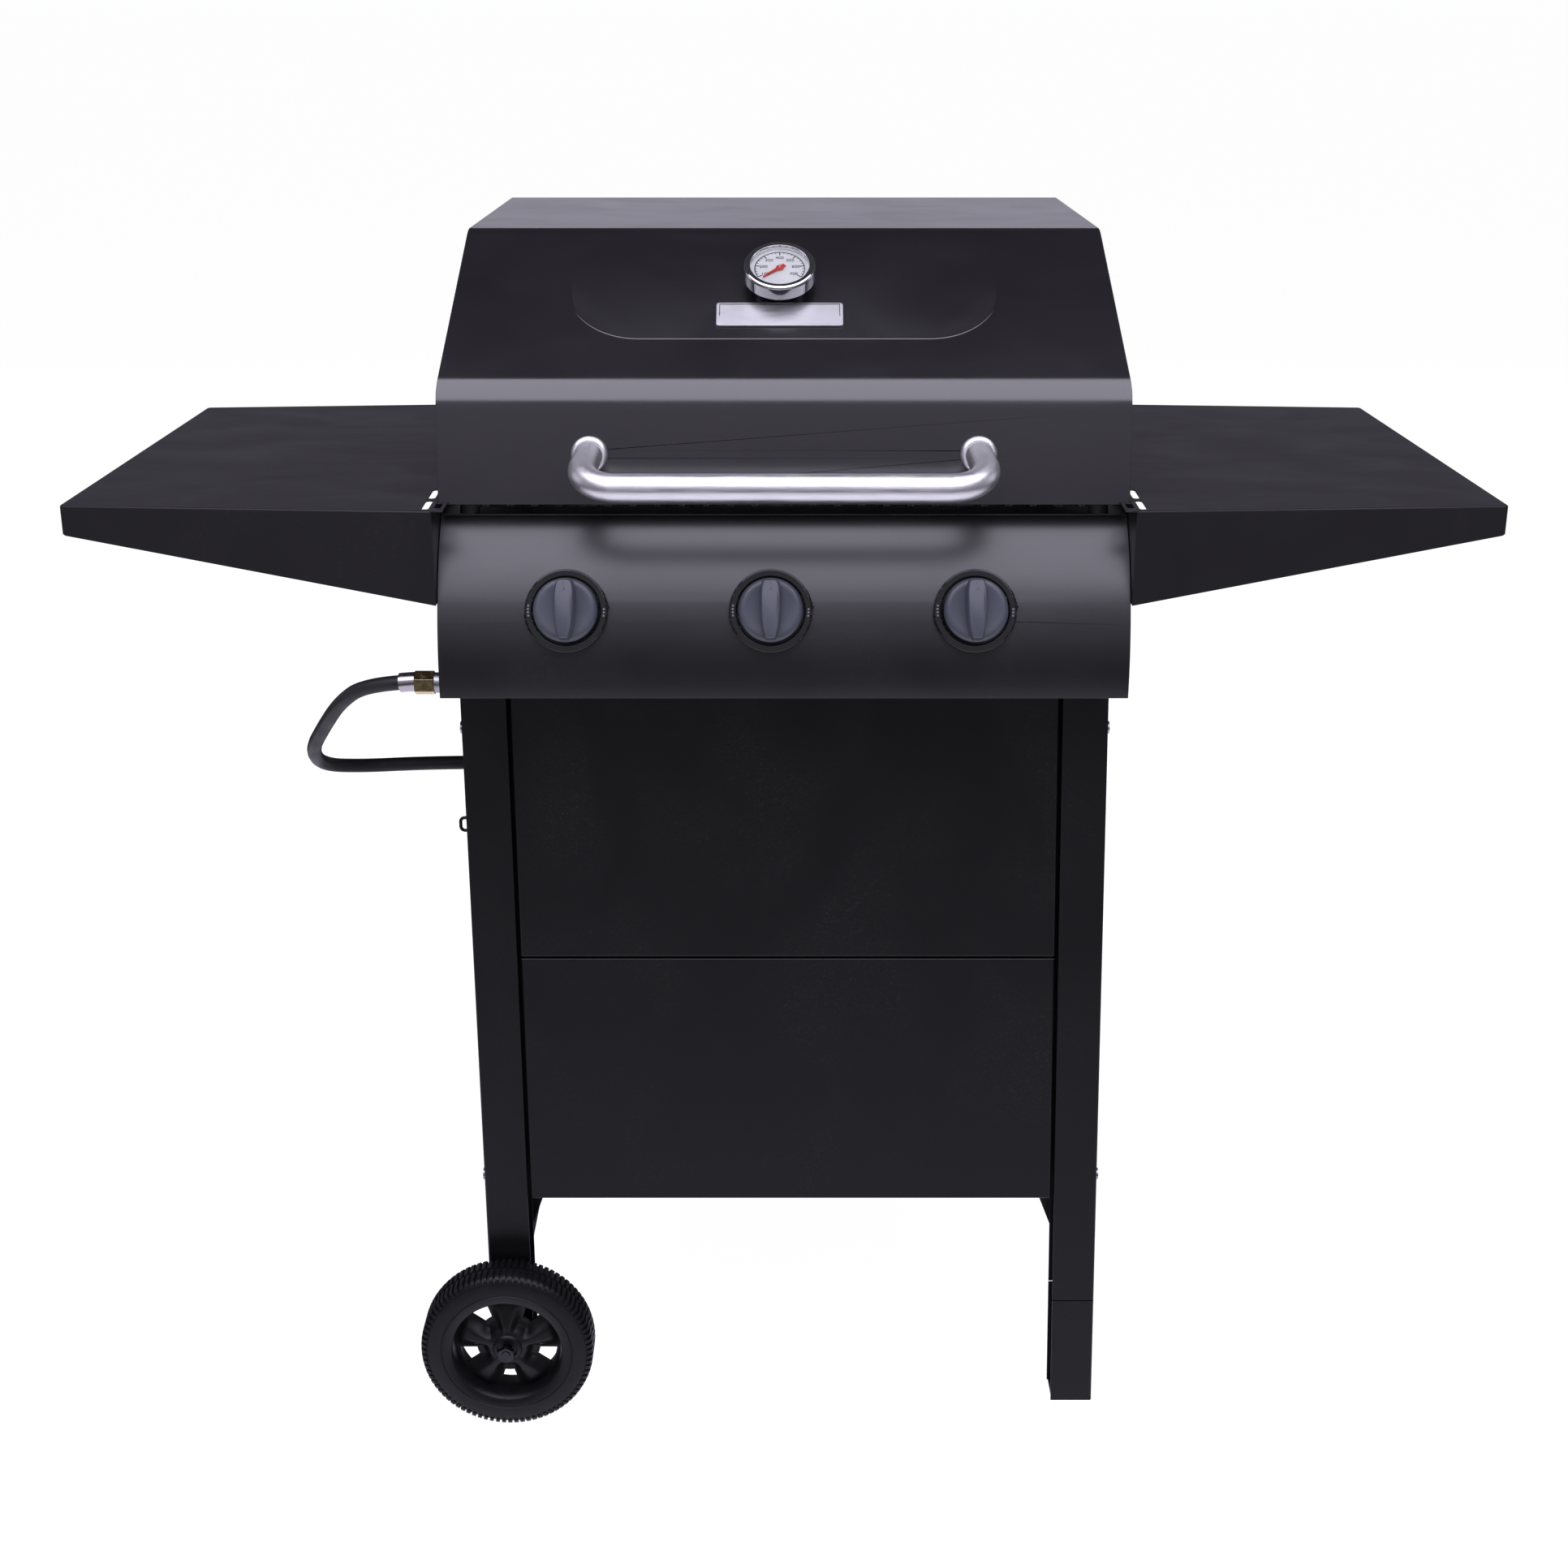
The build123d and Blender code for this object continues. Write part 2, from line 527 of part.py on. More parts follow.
def make_bezels():
    bezels = []
    (cy, cz), radius = panel_circle()
    for index in range(3):
        ring = extrude(Circle(BEZEL_RADIUS) - Circle(KNOB_RADIUS + 1.5), amount=5)
        ring = fillet(ring.edges().filter_by(GeomType.CIRCLE).sort_by(Axis.Z)[-2:], radius=1.5)
        base = extrude(Circle(KNOB_RADIUS + 2) - Circle(PANEL_HOLE_RADIUS), amount=1.5)
        placed = knob_plane(index) * (ring + base)
        placed = placed - rod((-HEAD_HALF, cy, cz), (HEAD_HALF, cy, cz), radius)
        bezels.append(placed)
    nodes["knob_bezels"] = gathered(bezels)


def make_knobs():
    skirt_top = KNOB_LIFT + KNOB_SKIRT
    socket_top = skirt_top + 8
    stem_low, stem_top = 4 - VALVE_DEPTH, socket_top - KNOB_TRAVEL - 1
    for index, name in enumerate(("left", "middle", "right")):
        plane = knob_plane(index)
        skirt = post(KNOB_RADIUS, KNOB_LIFT, skirt_top)
        skirt = fillet(skirt.edges().filter_by(GeomType.CIRCLE).sort_by(Axis.Z)[-1], radius=3)
        outline = SlotOverall(2 * KNOB_RADIUS - 1, GRIP_WIDTH, rotation=90)
        grip = Pos(0, 0, skirt_top) * extrude(outline, amount=GRIP_HEIGHT)
        grip = fillet(grip.edges().sort_by(Axis.Z)[-4:], radius=2)
        socket = post(STEM_RADIUS + RUNNING_GAP, 0, socket_top)
        nodes["knob_" + name] = plane * (skirt + grip - socket)
        nodes["valve_stem_" + name] = plane * post(STEM_RADIUS, stem_low, stem_top)


def make_gas_train():
    pipe_y, pipe_z = valve_centre(0).Y, valve_centre(0).Z - MANIFOLD_DROP
    pipe_end = knob_x(2) + 25
    path = [(pipe_end, pipe_y, pipe_z), (GAS_INLET[0] + 60, pipe_y, pipe_z),
            (GAS_INLET[0] + 30, GAS_INLET[1], GAS_INLET[2]), GAS_INLET]
    nodes["manifold"] = bent_tube(path, 13, MANIFOLD_RADIUS)
    pipe = rod((GAS_INLET[0] + 72, pipe_y, pipe_z), (pipe_end + 5, pipe_y, pipe_z), MANIFOLD_RADIUS)
    stem_hole = post(STEM_RADIUS + RUNNING_GAP, 2 - VALVE_DEPTH, 32 - VALVE_DEPTH)
    jet_end = FIREBOX_Y[0] + 10
    valves = []
    for index in range(3):
        plane, centre = knob_plane(index), valve_centre(index)
        body = plane * post(VALVE_RADIUS, -VALVE_DEPTH - VALVE_RADIUS, 16 - VALVE_DEPTH)
        body += block((centre.X - 9, centre.X + 9), (pipe_y - 8, pipe_y + 8), (pipe_z, centre.Z))
        body += rod((centre.X, centre.Y, centre.Z), (centre.X, jet_end, centre.Z), 4)
        valves.append(body - pipe - plane * stem_hole)
    nodes["gas_valves"] = gathered(valves)


HOSE_ROUTE = [
    (-354, 5, 796.5), (-388, 8, 793), (-415, 25, 771), (-438, 54, 737), (-460, 92, 700),
    (-459, 134, 670), (-427, 164, 658), (-376, 180, 655), (-322, 189, 653), (-272, 199, 650),
    (-228, 226, 648), (-203, 270, 648), (-195, 318, 650),
]


def make_hose():
    route = [Vector(x, back(distance), z) for x, distance, z in HOSE_ROUTE]
    runs = [b - a for a, b in zip(route, route[1:])]
    radii = []
    for before, after in zip(runs, runs[1:]):
        half_turn = math.radians(before.get_angle(after)) / 2
        radii.append(0.45 * min(before.length, after.length) / math.tan(half_turn))
    path = FilletPolyline(*route, radius=radii)
    tube = sweep(Plane(origin=path @ 0, z_dir=path % 0) * Circle(HOSE_RADIUS), path=path)
    print("hose length", round(path.length, 1))
    nodes["gas_hose"] = tube
    start, end = route[0], route[-1]
    hose_out = (path % 0) * -1
    hose_in = path % 1
    hexagon = Plane(origin=GAS_INLET, z_dir=(-1, 0, 0)) * RegularPolygon(11.5, 6)
    nodes["hose_nut"] = extrude(hexagon, amount=HOSE_NUT_LENGTH)
    nut_end = GAS_INLET[0] - HOSE_NUT_LENGTH
    nut_face = block((nut_end, nut_end + 5), (start.Y - 30, start.Y + 30), (start.Z - 30, start.Z + 30))
    first = extrude(Plane(origin=start, z_dir=hose_out) * Circle(FERRULE_RADIUS),
                    until=Until.NEXT, target=nut_face)
    second = extrude(Plane(origin=end, z_dir=hose_in) * Circle(FERRULE_RADIUS), amount=FERRULE_LENGTH)
    nodes["hose_ferrules"] = gathered([first, second])
    make_regulator(end + hose_in * FERRULE_LENGTH, hose_in)


def make_regulator(neck, along):
    """The regulator at the hose's end, its coupling nut and the strap that it hangs from."""
    centre = neck + along * (REGULATOR_RADIUS + 4)
    level = Vector(along.X, along.Y, 0).normalized()
    across = Vector(-level.Y, level.X, 0)
    disc = Plane(origin=centre, z_dir=across) * post(REGULATOR_RADIUS, -REGULATOR_HALF_THICK,
                                                     REGULATOR_HALF_THICK)
    disc = fillet(disc.edges().filter_by(GeomType.CIRCLE), radius=5)
    outlet_radius = 6.0
    outlet = centre + along * (REGULATOR_RADIUS + 46)
    nodes["regulator"] = disc + rod(neck, centre, FERRULE_RADIUS) + rod(centre, outlet, outlet_radius)
    nut_start = centre + along * (REGULATOR_RADIUS + 6)
    nut_end = nut_start + along * COUPLING_LENGTH
    grip = rod(nut_start, nut_end, COUPLING_RADIUS)
    nodes["coupling_nut"] = grip - rod(nut_start - along, nut_end + along, outlet_radius + RUNNING_GAP)
    x = (centre.X - 10, centre.X + 10)
    top, thick, foot = FIREBOX_Z[0], 2.0, 20.0
    y_low = centre.Y - thick / 2
    strap = block(x, (y_low, y_low + thick), (centre.Z + REGULATOR_RADIUS, top))
    strap += block(x, (y_low, y_low + thick + foot), (top - thick, top))
    nodes["regulator_hanger"] = strap - Plane(origin=centre, z_dir=across) * Cylinder(REGULATOR_RADIUS, 60)


# ---- Side shelves -------------------------------------------------------------------------
def shelf_plan(inset, side, root):
    """The shelf's outline seen from above, with its front, tip and rear edges moved in."""
    tip = OVERALL_WIDTH / 2 - inset
    return [(side * root, SHELF_ROOT_Y[0] + inset), (side * tip, SHELF_TIP_Y[0] + inset),
            (side * (tip - SHELF_TIP_SLANT), SHELF_TIP_Y[1] - inset), (side * root, SHELF_ROOT_Y[1] - inset)]


def make_shelf(name, side):
    low = SHELF_HEIGHT - SHELF_ROOT_FLAP
    shelf = plan_outline(shelf_plan(0, side, FIREBOX_HALF), (low, SHELF_HEIGHT))
    upright = shelf.edges().filter_by(Axis.Z).sort_by(Axis.X)
    tips = upright[:2] if side == LEFT else upright[-2:]
    shelf = fillet(tips, radius=5)
    top = shelf.faces().sort_by(Axis.Z)[-1]
    outer_rim = [e for e in top.edges() if abs(e.center().X) > FIREBOX_HALF + 2]
    shelf = fillet(outer_rim, radius=2)
    shelf -= plan_outline(shelf_plan(SHEET, side, FIREBOX_HALF + SHEET), (low - 1, SHELF_HEIGHT - SHEET))
    tip_low = SHELF_HEIGHT - SHELF_TIP_FLAP
    tip, past_tip, lowest = OVERALL_WIDTH / 2, OVERALL_WIDTH / 2 + 10, low - 5
    under = [(side * FIREBOX_HALF, low), (side * tip, tip_low), (side * past_tip, tip_low),
             (side * past_tip, lowest), (side * FIREBOX_HALF, lowest)]
    shelf -= front_outline(under, (SHELF_ROOT_Y[0] - 40, SHELF_ROOT_Y[1] + 40))
    ear = sorted((side * (FIREBOX_HALF - 10), side * (FIREBOX_HALF + 1)))
    shelf += block(ear, (SHELF_ROOT_Y[0] + 0.5, PANEL_TOP[0] - 22), (SHELF_HEIGHT - SHEET, SHELF_HEIGHT))
    inner_row, ear_row = FIREBOX_HALF + 7, FIREBOX_HALF - 3.5
    for x, distance, length in ((inner_row, 47, 36), (inner_row, 3, 34), (ear_row, 0, 20)):
        hole = Pos(side * x, back(distance), SHELF_HEIGHT) * Rot(0, 0, 90)
        shelf -= hole * extrude(SlotOverall(length, SLOT_WIDTH), amount=20, both=True)
    nodes[name] = shelf


# ---- Cart ---------------------------------------------------------------------------------
def leg_x(side, z, at):
    """X of a leg's edge at a height; the right legs lean outward towards the floor."""
    lean = LEG_SPLAY * (LEG_TOP - z) / LEG_TOP if side == RIGHT else 0.0
    return side * at + lean


def leg_channel(side, y, low, high):
    """An open channel of sheet, closed to the front, to the outside and to the back."""
    outer = [(leg_x(side, low, LEG_INNER), low), (leg_x(side, low, LEG_OUTER), low),
             (leg_x(side, high, LEG_OUTER), high), (leg_x(side, high, LEG_INNER), high)]
    wide = [(leg_x(side, low, LEG_INNER - 5), low - 1), (leg_x(side, low, LEG_OUTER - SHEET), low - 1),
            (leg_x(side, high, LEG_OUTER - SHEET), high + 1), (leg_x(side, high, LEG_INNER - 5), high + 1)]
    leg = front_outline(outer, y)
    corners = leg.edges().filter_by(lambda e: abs(e.length - (high - low)) < 3)
    outside = [e for e in corners if abs(e.center().X) > (LEG_INNER + LEG_OUTER) / 2]
    leg = fillet(outside, radius=3)
    return leg - front_outline(wide, (y[0] + SHEET, y[1] - SHEET))


def right_leg_face(inset, low, high):
    """The right legs' front outline between two heights, its sides moved in by the inset."""
    inner, outer = LEG_INNER + inset, LEG_OUTER - inset
    return [(leg_x(RIGHT, low, inner), low), (leg_x(RIGHT, low, outer), low),
            (leg_x(RIGHT, high, outer), high), (leg_x(RIGHT, high, inner), high)]


def bolt_places():
    """Where the cart's bolts go: a point on the outer face and the way the bolt points."""
    places = []
    for side in (LEFT, RIGHT):
        for y in (LEG_FRONT_Y + LEG_DEPTH / 2, LEG_REAR_Y + LEG_DEPTH / 2):
            for z in (780.0, 740.0, 260.0):
                x = leg_x(side, z, LEG_OUTER + HEAD_SEAT)
                places.append((Vector(x, y, z), Vector(-side, 0, 0)))
    return places


def make_legs():
    front = (LEG_FRONT_Y, LEG_FRONT_Y + LEG_DEPTH)
    rear = (LEG_REAR_Y, LEG_REAR_Y + LEG_DEPTH)
    axle_hole = rod((WHEEL_X, front[0] - 1, WHEEL_RADIUS), (WHEEL_X, rear[1] + 1, WHEEL_RADIUS), AXLE_RADIUS)
    shanks = [rod(point - way, point + way * 9, 3) for point, way in bolt_places()]
    for place, y in (("front", front), ("rear", rear)):
        left = leg_channel(LEFT, y, WHEEL_RADIUS - 26, LEG_TOP) - axle_hole
        right = leg_channel(RIGHT, y, FOOT_SEAM + 1, LEG_TOP)
        nodes["leg_" + place + "_left"] = left - shanks
        nodes["leg_" + place + "_right"] = right - shanks
        foot = leg_channel(RIGHT, y, 0, FOOT_SEAM)
        foot += front_outline(right_leg_face(1, 0, 3), y)
        plug = right_leg_face(4, FOOT_SEAM - 40, FOOT_SEAM + 40)
        foot += front_outline(plug, (y[0] + SHEET, y[0] + 2 * SHEET))
        nodes["foot_" + place] = foot


def make_bolts():
    bolts = []
    for point, way in bolt_places():
        bolt = rod(point, point + way * 8, 3)
        head = Plane(origin=point, z_dir=-way) * post(6, 0, 3)
        bolts.append(bolt + head)
    nodes["cart_bolts"] = gathered(bolts)


def tray_panel(low, high):
    """A front panel between the legs, with its edges turned back."""
    y = (LEG_FRONT_Y + PANEL_RECESS, LEG_FRONT_Y + PANEL_RECESS + 14)

    def outline(inset):
        side = PANEL_GAP + inset
        left = side - LEG_INNER
        return [(left, low + inset), (leg_x(RIGHT, low, LEG_INNER) - side, low + inset),
                (leg_x(RIGHT, high, LEG_INNER) - side, high - inset), (left, high - inset)]

    panel = front_outline(outline(0), y)
    face = panel.faces().sort_by(Axis.Y)[0]
    panel = fillet(face.edges(), radius=2)
    return panel - front_outline(outline(SHEET), (y[0] + SHEET, y[1] + 1))


def make_front_panels():
    nodes["front_panel_upper"] = tray_panel(PANEL_SEAM + 1, PANEL_HIGH)
    nodes["front_panel_lower"] = tray_panel(PANEL_LOW, PANEL_SEAM - 1)


def make_bottom_shelf():
    """A shallow tray between the legs, with the round hole that a gas cylinder's foot sits in."""
    y = (LEG_FRONT_Y + LEG_DEPTH, LEG_REAR_Y)
    z = (SHELF_FLOOR, SHELF_FLOOR + 18)
    x = (-LEG_OUTER + SHEET, leg_x(RIGHT, z[0], LEG_OUTER) - SHEET)
    tray = block(x, y, z)
    tray -= block((x[0] + SHEET, x[1] - SHEET), (y[0] + SHEET, y[1] - SHEET), (z[0] + SHEET, z[1] + 5))
    tray -= Pos(sum(x) / 2, sum(y) / 2, z[0]) * Cylinder(TANK_RING_RADIUS, 20)
    nodes["bottom_shelf"] = tray - Pos(*TANK_SCREW, z[0]) * Cylinder(3, 20)


def make_rails():
    y = (LEG_FRONT_Y + LEG_DEPTH, LEG_REAR_Y)
    rails = []
    for side in (LEFT, RIGHT):
        web = block(sorted((side * (LEG_OUTER - SHEET), side * LEG_OUTER)), y, (LEG_TOP - 33, LEG_TOP))
        ledge = block(sorted((side * (LEG_INNER + 5), side * LEG_OUTER)), y, (LEG_TOP - SHEET, LEG_TOP))
        rails.append(web + ledge)
    nodes["side_rails"] = gathered(rails)


def make_rear_brace():
    z = (560, 610)
    y = (LEG_REAR_Y + LEG_DEPTH, LEG_REAR_Y + LEG_DEPTH + 12)
    x = (-LEG_OUTER + 2, leg_x(RIGHT, z[0], LEG_OUTER) - 4)
    hollow = block((x[0] - 1, x[1] + 1), (y[0] + SHEET, y[1] + 1), (z[0] + SHEET, z[1] - SHEET))
    nodes["rear_brace"] = block(x, y, z) - hollow


def make_gussets():
    low, reach, overlap = 190.0, 22.0, 20.0
    gussets = []
    for side in (LEFT, RIGHT):
        shape = [(leg_x(side, SHELF_FLOOR, LEG_INNER + overlap), SHELF_FLOOR),
                 (leg_x(side, SHELF_FLOOR, LEG_INNER - reach), SHELF_FLOOR),
                 (leg_x(side, low, LEG_INNER), low), (leg_x(side, low, LEG_INNER + overlap), low)]
        for y in (LEG_FRONT_Y + LEG_DEPTH, LEG_REAR_Y - SHEET):
            gussets.append(front_outline(shape, (y, y + SHEET)))
    nodes["leg_gussets"] = gathered(gussets)


def make_tank_screw():
    """The wing screw that holds the cylinder's foot ring, seen below the front panel."""
    wing = (PANEL_LOW - 2, PANEL_LOW + 8)
    screw = post(3, PANEL_LOW - 6, PANEL_LOW + 18) + post(6, *wing)
    screw += block((-14, 14), (-1.5, 1.5), wing)
    nodes["tank_screw"] = Pos(*TANK_SCREW, 0) * screw


def make_match_hook():
    y, high, low = LEG_FRONT_Y + 20, 648.0, 635.0
    points = [(-LEG_OUTER, y, high), (-LEG_OUTER - 8, y, high), (-LEG_OUTER - 8, y, low),
              (-LEG_OUTER - 2, y, low)]
    nodes["match_hook"] = bent_tube(points, 4, 1.6)


# ---- Wheels -------------------------------------------------------------------------------
def make_tread():
    """The tyre's ring with two staggered rows of lugs."""
    half = WHEEL_WIDTH / 2
    ring = Cylinder(WHEEL_RADIUS - 3, WHEEL_WIDTH) - Cylinder(RIM_INNER, WHEEL_WIDTH + 2)
    outer_rims = ring.edges().filter_by(GeomType.CIRCLE).filter_by(lambda e: e.radius > RIM_INNER + 1)
    ring = fillet(outer_rims, radius=7)
    crown = Cylinder(WHEEL_RADIUS, WHEEL_WIDTH - 4)
    width = math.pi * WHEEL_RADIUS / LUG_COUNT
    lugs = []
    for row, shift in ((-1, 0.0), (1, 0.5)):
        for i in range(LUG_COUNT):
            turn = Rot(0, 0, (i + shift) * 360 / LUG_COUNT)
            lug = Pos(WHEEL_RADIUS - 4.5, 0, row * (half / 2 - 0.5)) * Box(9, width, half - 3)
            lugs.append(turn * lug & crown)
    return ring + lugs


def make_wheel(y_front, facing):
    """A moulded wheel: lugged tread, dished rim, five spokes and a hub, open between the spokes."""
    span = RIM_INNER - HUB_RADIUS
    wheel = make_tread() + Cylinder(HUB_RADIUS, WHEEL_WIDTH)
    web = Pos(0, 0, facing * 6) * (Cylinder(RIM_INNER + 2, 8) - Cylinder(HUB_RADIUS, 10))
    opening = fillet(Polygon((-11, -6), (-11, 6), (11, 13), (11, -13)).vertices(), radius=3)
    turns = [Rot(0, 0, 90 + i * 360 / SPOKE_COUNT) for i in range(SPOKE_COUNT)]
    between = Rot(0, 0, 180 / SPOKE_COUNT)
    for turn in turns:
        window = turn * between * Pos(HUB_RADIUS + 19, 0, facing * 6)
        web -= window * extrude(opening, amount=20, both=True)
    wheel += web
    for turn in turns:
        wheel += turn * Pos((RIM_INNER + HUB_RADIUS) / 2, 0, 0) * Box(span + 4, 9, WHEEL_WIDTH - 14)
    wheel -= Cylinder(AXLE_RADIUS + RUNNING_GAP, WHEEL_WIDTH + 2)
    middle = Plane(origin=(WHEEL_X, y_front + WHEEL_WIDTH / 2, WHEEL_RADIUS), x_dir=(1, 0, 0),
                   z_dir=(0, -1, 0))
    return middle * wheel


def axle_rod(low, high, radius):
    """A round piece on the axle's line between two values of Y."""
    return rod((WHEEL_X, low, WHEEL_RADIUS), (WHEEL_X, high, WHEEL_RADIUS), radius)


def make_wheels():
    front_face = LEG_FRONT_Y - WHEEL_GAP - WHEEL_WIDTH
    rear_face = LEG_REAR_Y + LEG_DEPTH + WHEEL_GAP
    nodes["wheel_front"] = make_wheel(front_face, 1)
    nodes["wheel_rear"] = make_wheel(rear_face, -1)
    axle = axle_rod(front_face - 7, rear_face + WHEEL_WIDTH + 7, AXLE_RADIUS)
    nodes["axle"] = axle
    nuts = []
    for low in (front_face - 6, rear_face + WHEEL_WIDTH + 1):
        side = Plane(origin=(WHEEL_X, low, WHEEL_RADIUS), z_dir=(0, 1, 0))
        nuts.append(extrude(side * RegularPolygon(9, 6), amount=5) - axle)
    nodes["axle_nuts"] = gathered(nuts)
    spacers = []
    for low in (front_face + WHEEL_WIDTH, rear_face - WHEEL_GAP):
        spacers.append(axle_rod(low + 0.4, low + WHEEL_GAP - 0.4, 8) - axle)
    nodes["axle_washers"] = gathered(spacers)


def make_bumpers():
    bumpers = []
    for side in (LEFT, RIGHT):
        bumpers.append(Pos(side * 287, back(40), 0) * post(9, PANEL_TOP[1], LID_FRONT[1] - 0.1))
    nodes["lid_bumpers"] = gathered(bumpers)


# ---- Assembly -----------------------------------------------------------------------------
make_lid()
make_handle()
make_gauge()
make_badge()
make_hinges()
make_firebox()
make_burners()
make_grates()
make_warming_rack()
make_grease_parts()
make_control_panel()
make_bezels()
make_knobs()
make_gas_train()
make_hose()
make_shelf("side_shelf_left", LEFT)
make_shelf("side_shelf_right", RIGHT)
make_legs()
make_bolts()
make_front_panels()
make_bottom_shelf()
make_rails()
make_rear_brace()
make_gussets()
make_tank_screw()
make_match_hook()
make_wheels()
make_bumpers()

os.makedirs("parts", exist_ok=True)
for node, shape in nodes.items():
    export_step(shape, "parts/" + node + ".step")

print(len(nodes), "nodes")
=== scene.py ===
import json
import math

import bmesh
import bpy
from mathutils import Matrix, Vector


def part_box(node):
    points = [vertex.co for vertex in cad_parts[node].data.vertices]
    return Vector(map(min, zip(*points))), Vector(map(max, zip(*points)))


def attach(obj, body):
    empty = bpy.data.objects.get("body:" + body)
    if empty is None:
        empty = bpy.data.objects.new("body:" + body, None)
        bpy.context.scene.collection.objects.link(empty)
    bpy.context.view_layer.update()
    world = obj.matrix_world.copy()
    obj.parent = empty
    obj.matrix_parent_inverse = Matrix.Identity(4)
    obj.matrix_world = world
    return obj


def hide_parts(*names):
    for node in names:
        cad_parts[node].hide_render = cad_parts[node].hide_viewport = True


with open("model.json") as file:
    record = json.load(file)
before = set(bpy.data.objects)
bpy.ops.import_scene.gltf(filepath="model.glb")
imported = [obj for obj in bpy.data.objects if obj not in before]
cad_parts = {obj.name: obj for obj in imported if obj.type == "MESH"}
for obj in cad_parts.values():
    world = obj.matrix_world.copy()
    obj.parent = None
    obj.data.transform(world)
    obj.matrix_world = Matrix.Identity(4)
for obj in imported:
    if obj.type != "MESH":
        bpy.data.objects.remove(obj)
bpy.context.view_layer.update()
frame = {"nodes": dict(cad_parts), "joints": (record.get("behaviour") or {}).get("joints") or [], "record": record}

MM = 0.001
NODES = frame["nodes"]
JOINTS = {joint["name"]: joint for joint in frame["joints"]}
KNOB_NAMES = ("left", "middle", "right")

# Depths are measured from a line a little behind the side shelves' front edges.
DEPTH_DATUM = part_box("side_shelf_left")[0].y + 22 * MM


def put_in_scene(name, data):
    """A new object in the scene."""
    made = bpy.data.objects.new(name, data)
    bpy.context.scene.collection.objects.link(made)
    return made


# ---- Camera -------------------------------------------------------------------------------
CAMERA_LENS = 52.17
CAMERA_DISTANCE = 1.996
CAMERA_HEIGHT = 1.430
CAMERA_LOOKING_DOWN = 20.124


def make_camera():
    """A view from standing height, two metres in front of the grill."""
    data = bpy.data.cameras.new("camera")
    data.sensor_width = 36.0
    data.lens = CAMERA_LENS
    camera = put_in_scene("camera", data)
    camera.location = (0.0, DEPTH_DATUM - CAMERA_DISTANCE, CAMERA_HEIGHT)
    camera.rotation_euler = (math.radians(90 - CAMERA_LOOKING_DOWN), 0.0, 0.0)
    bpy.context.scene.camera = camera


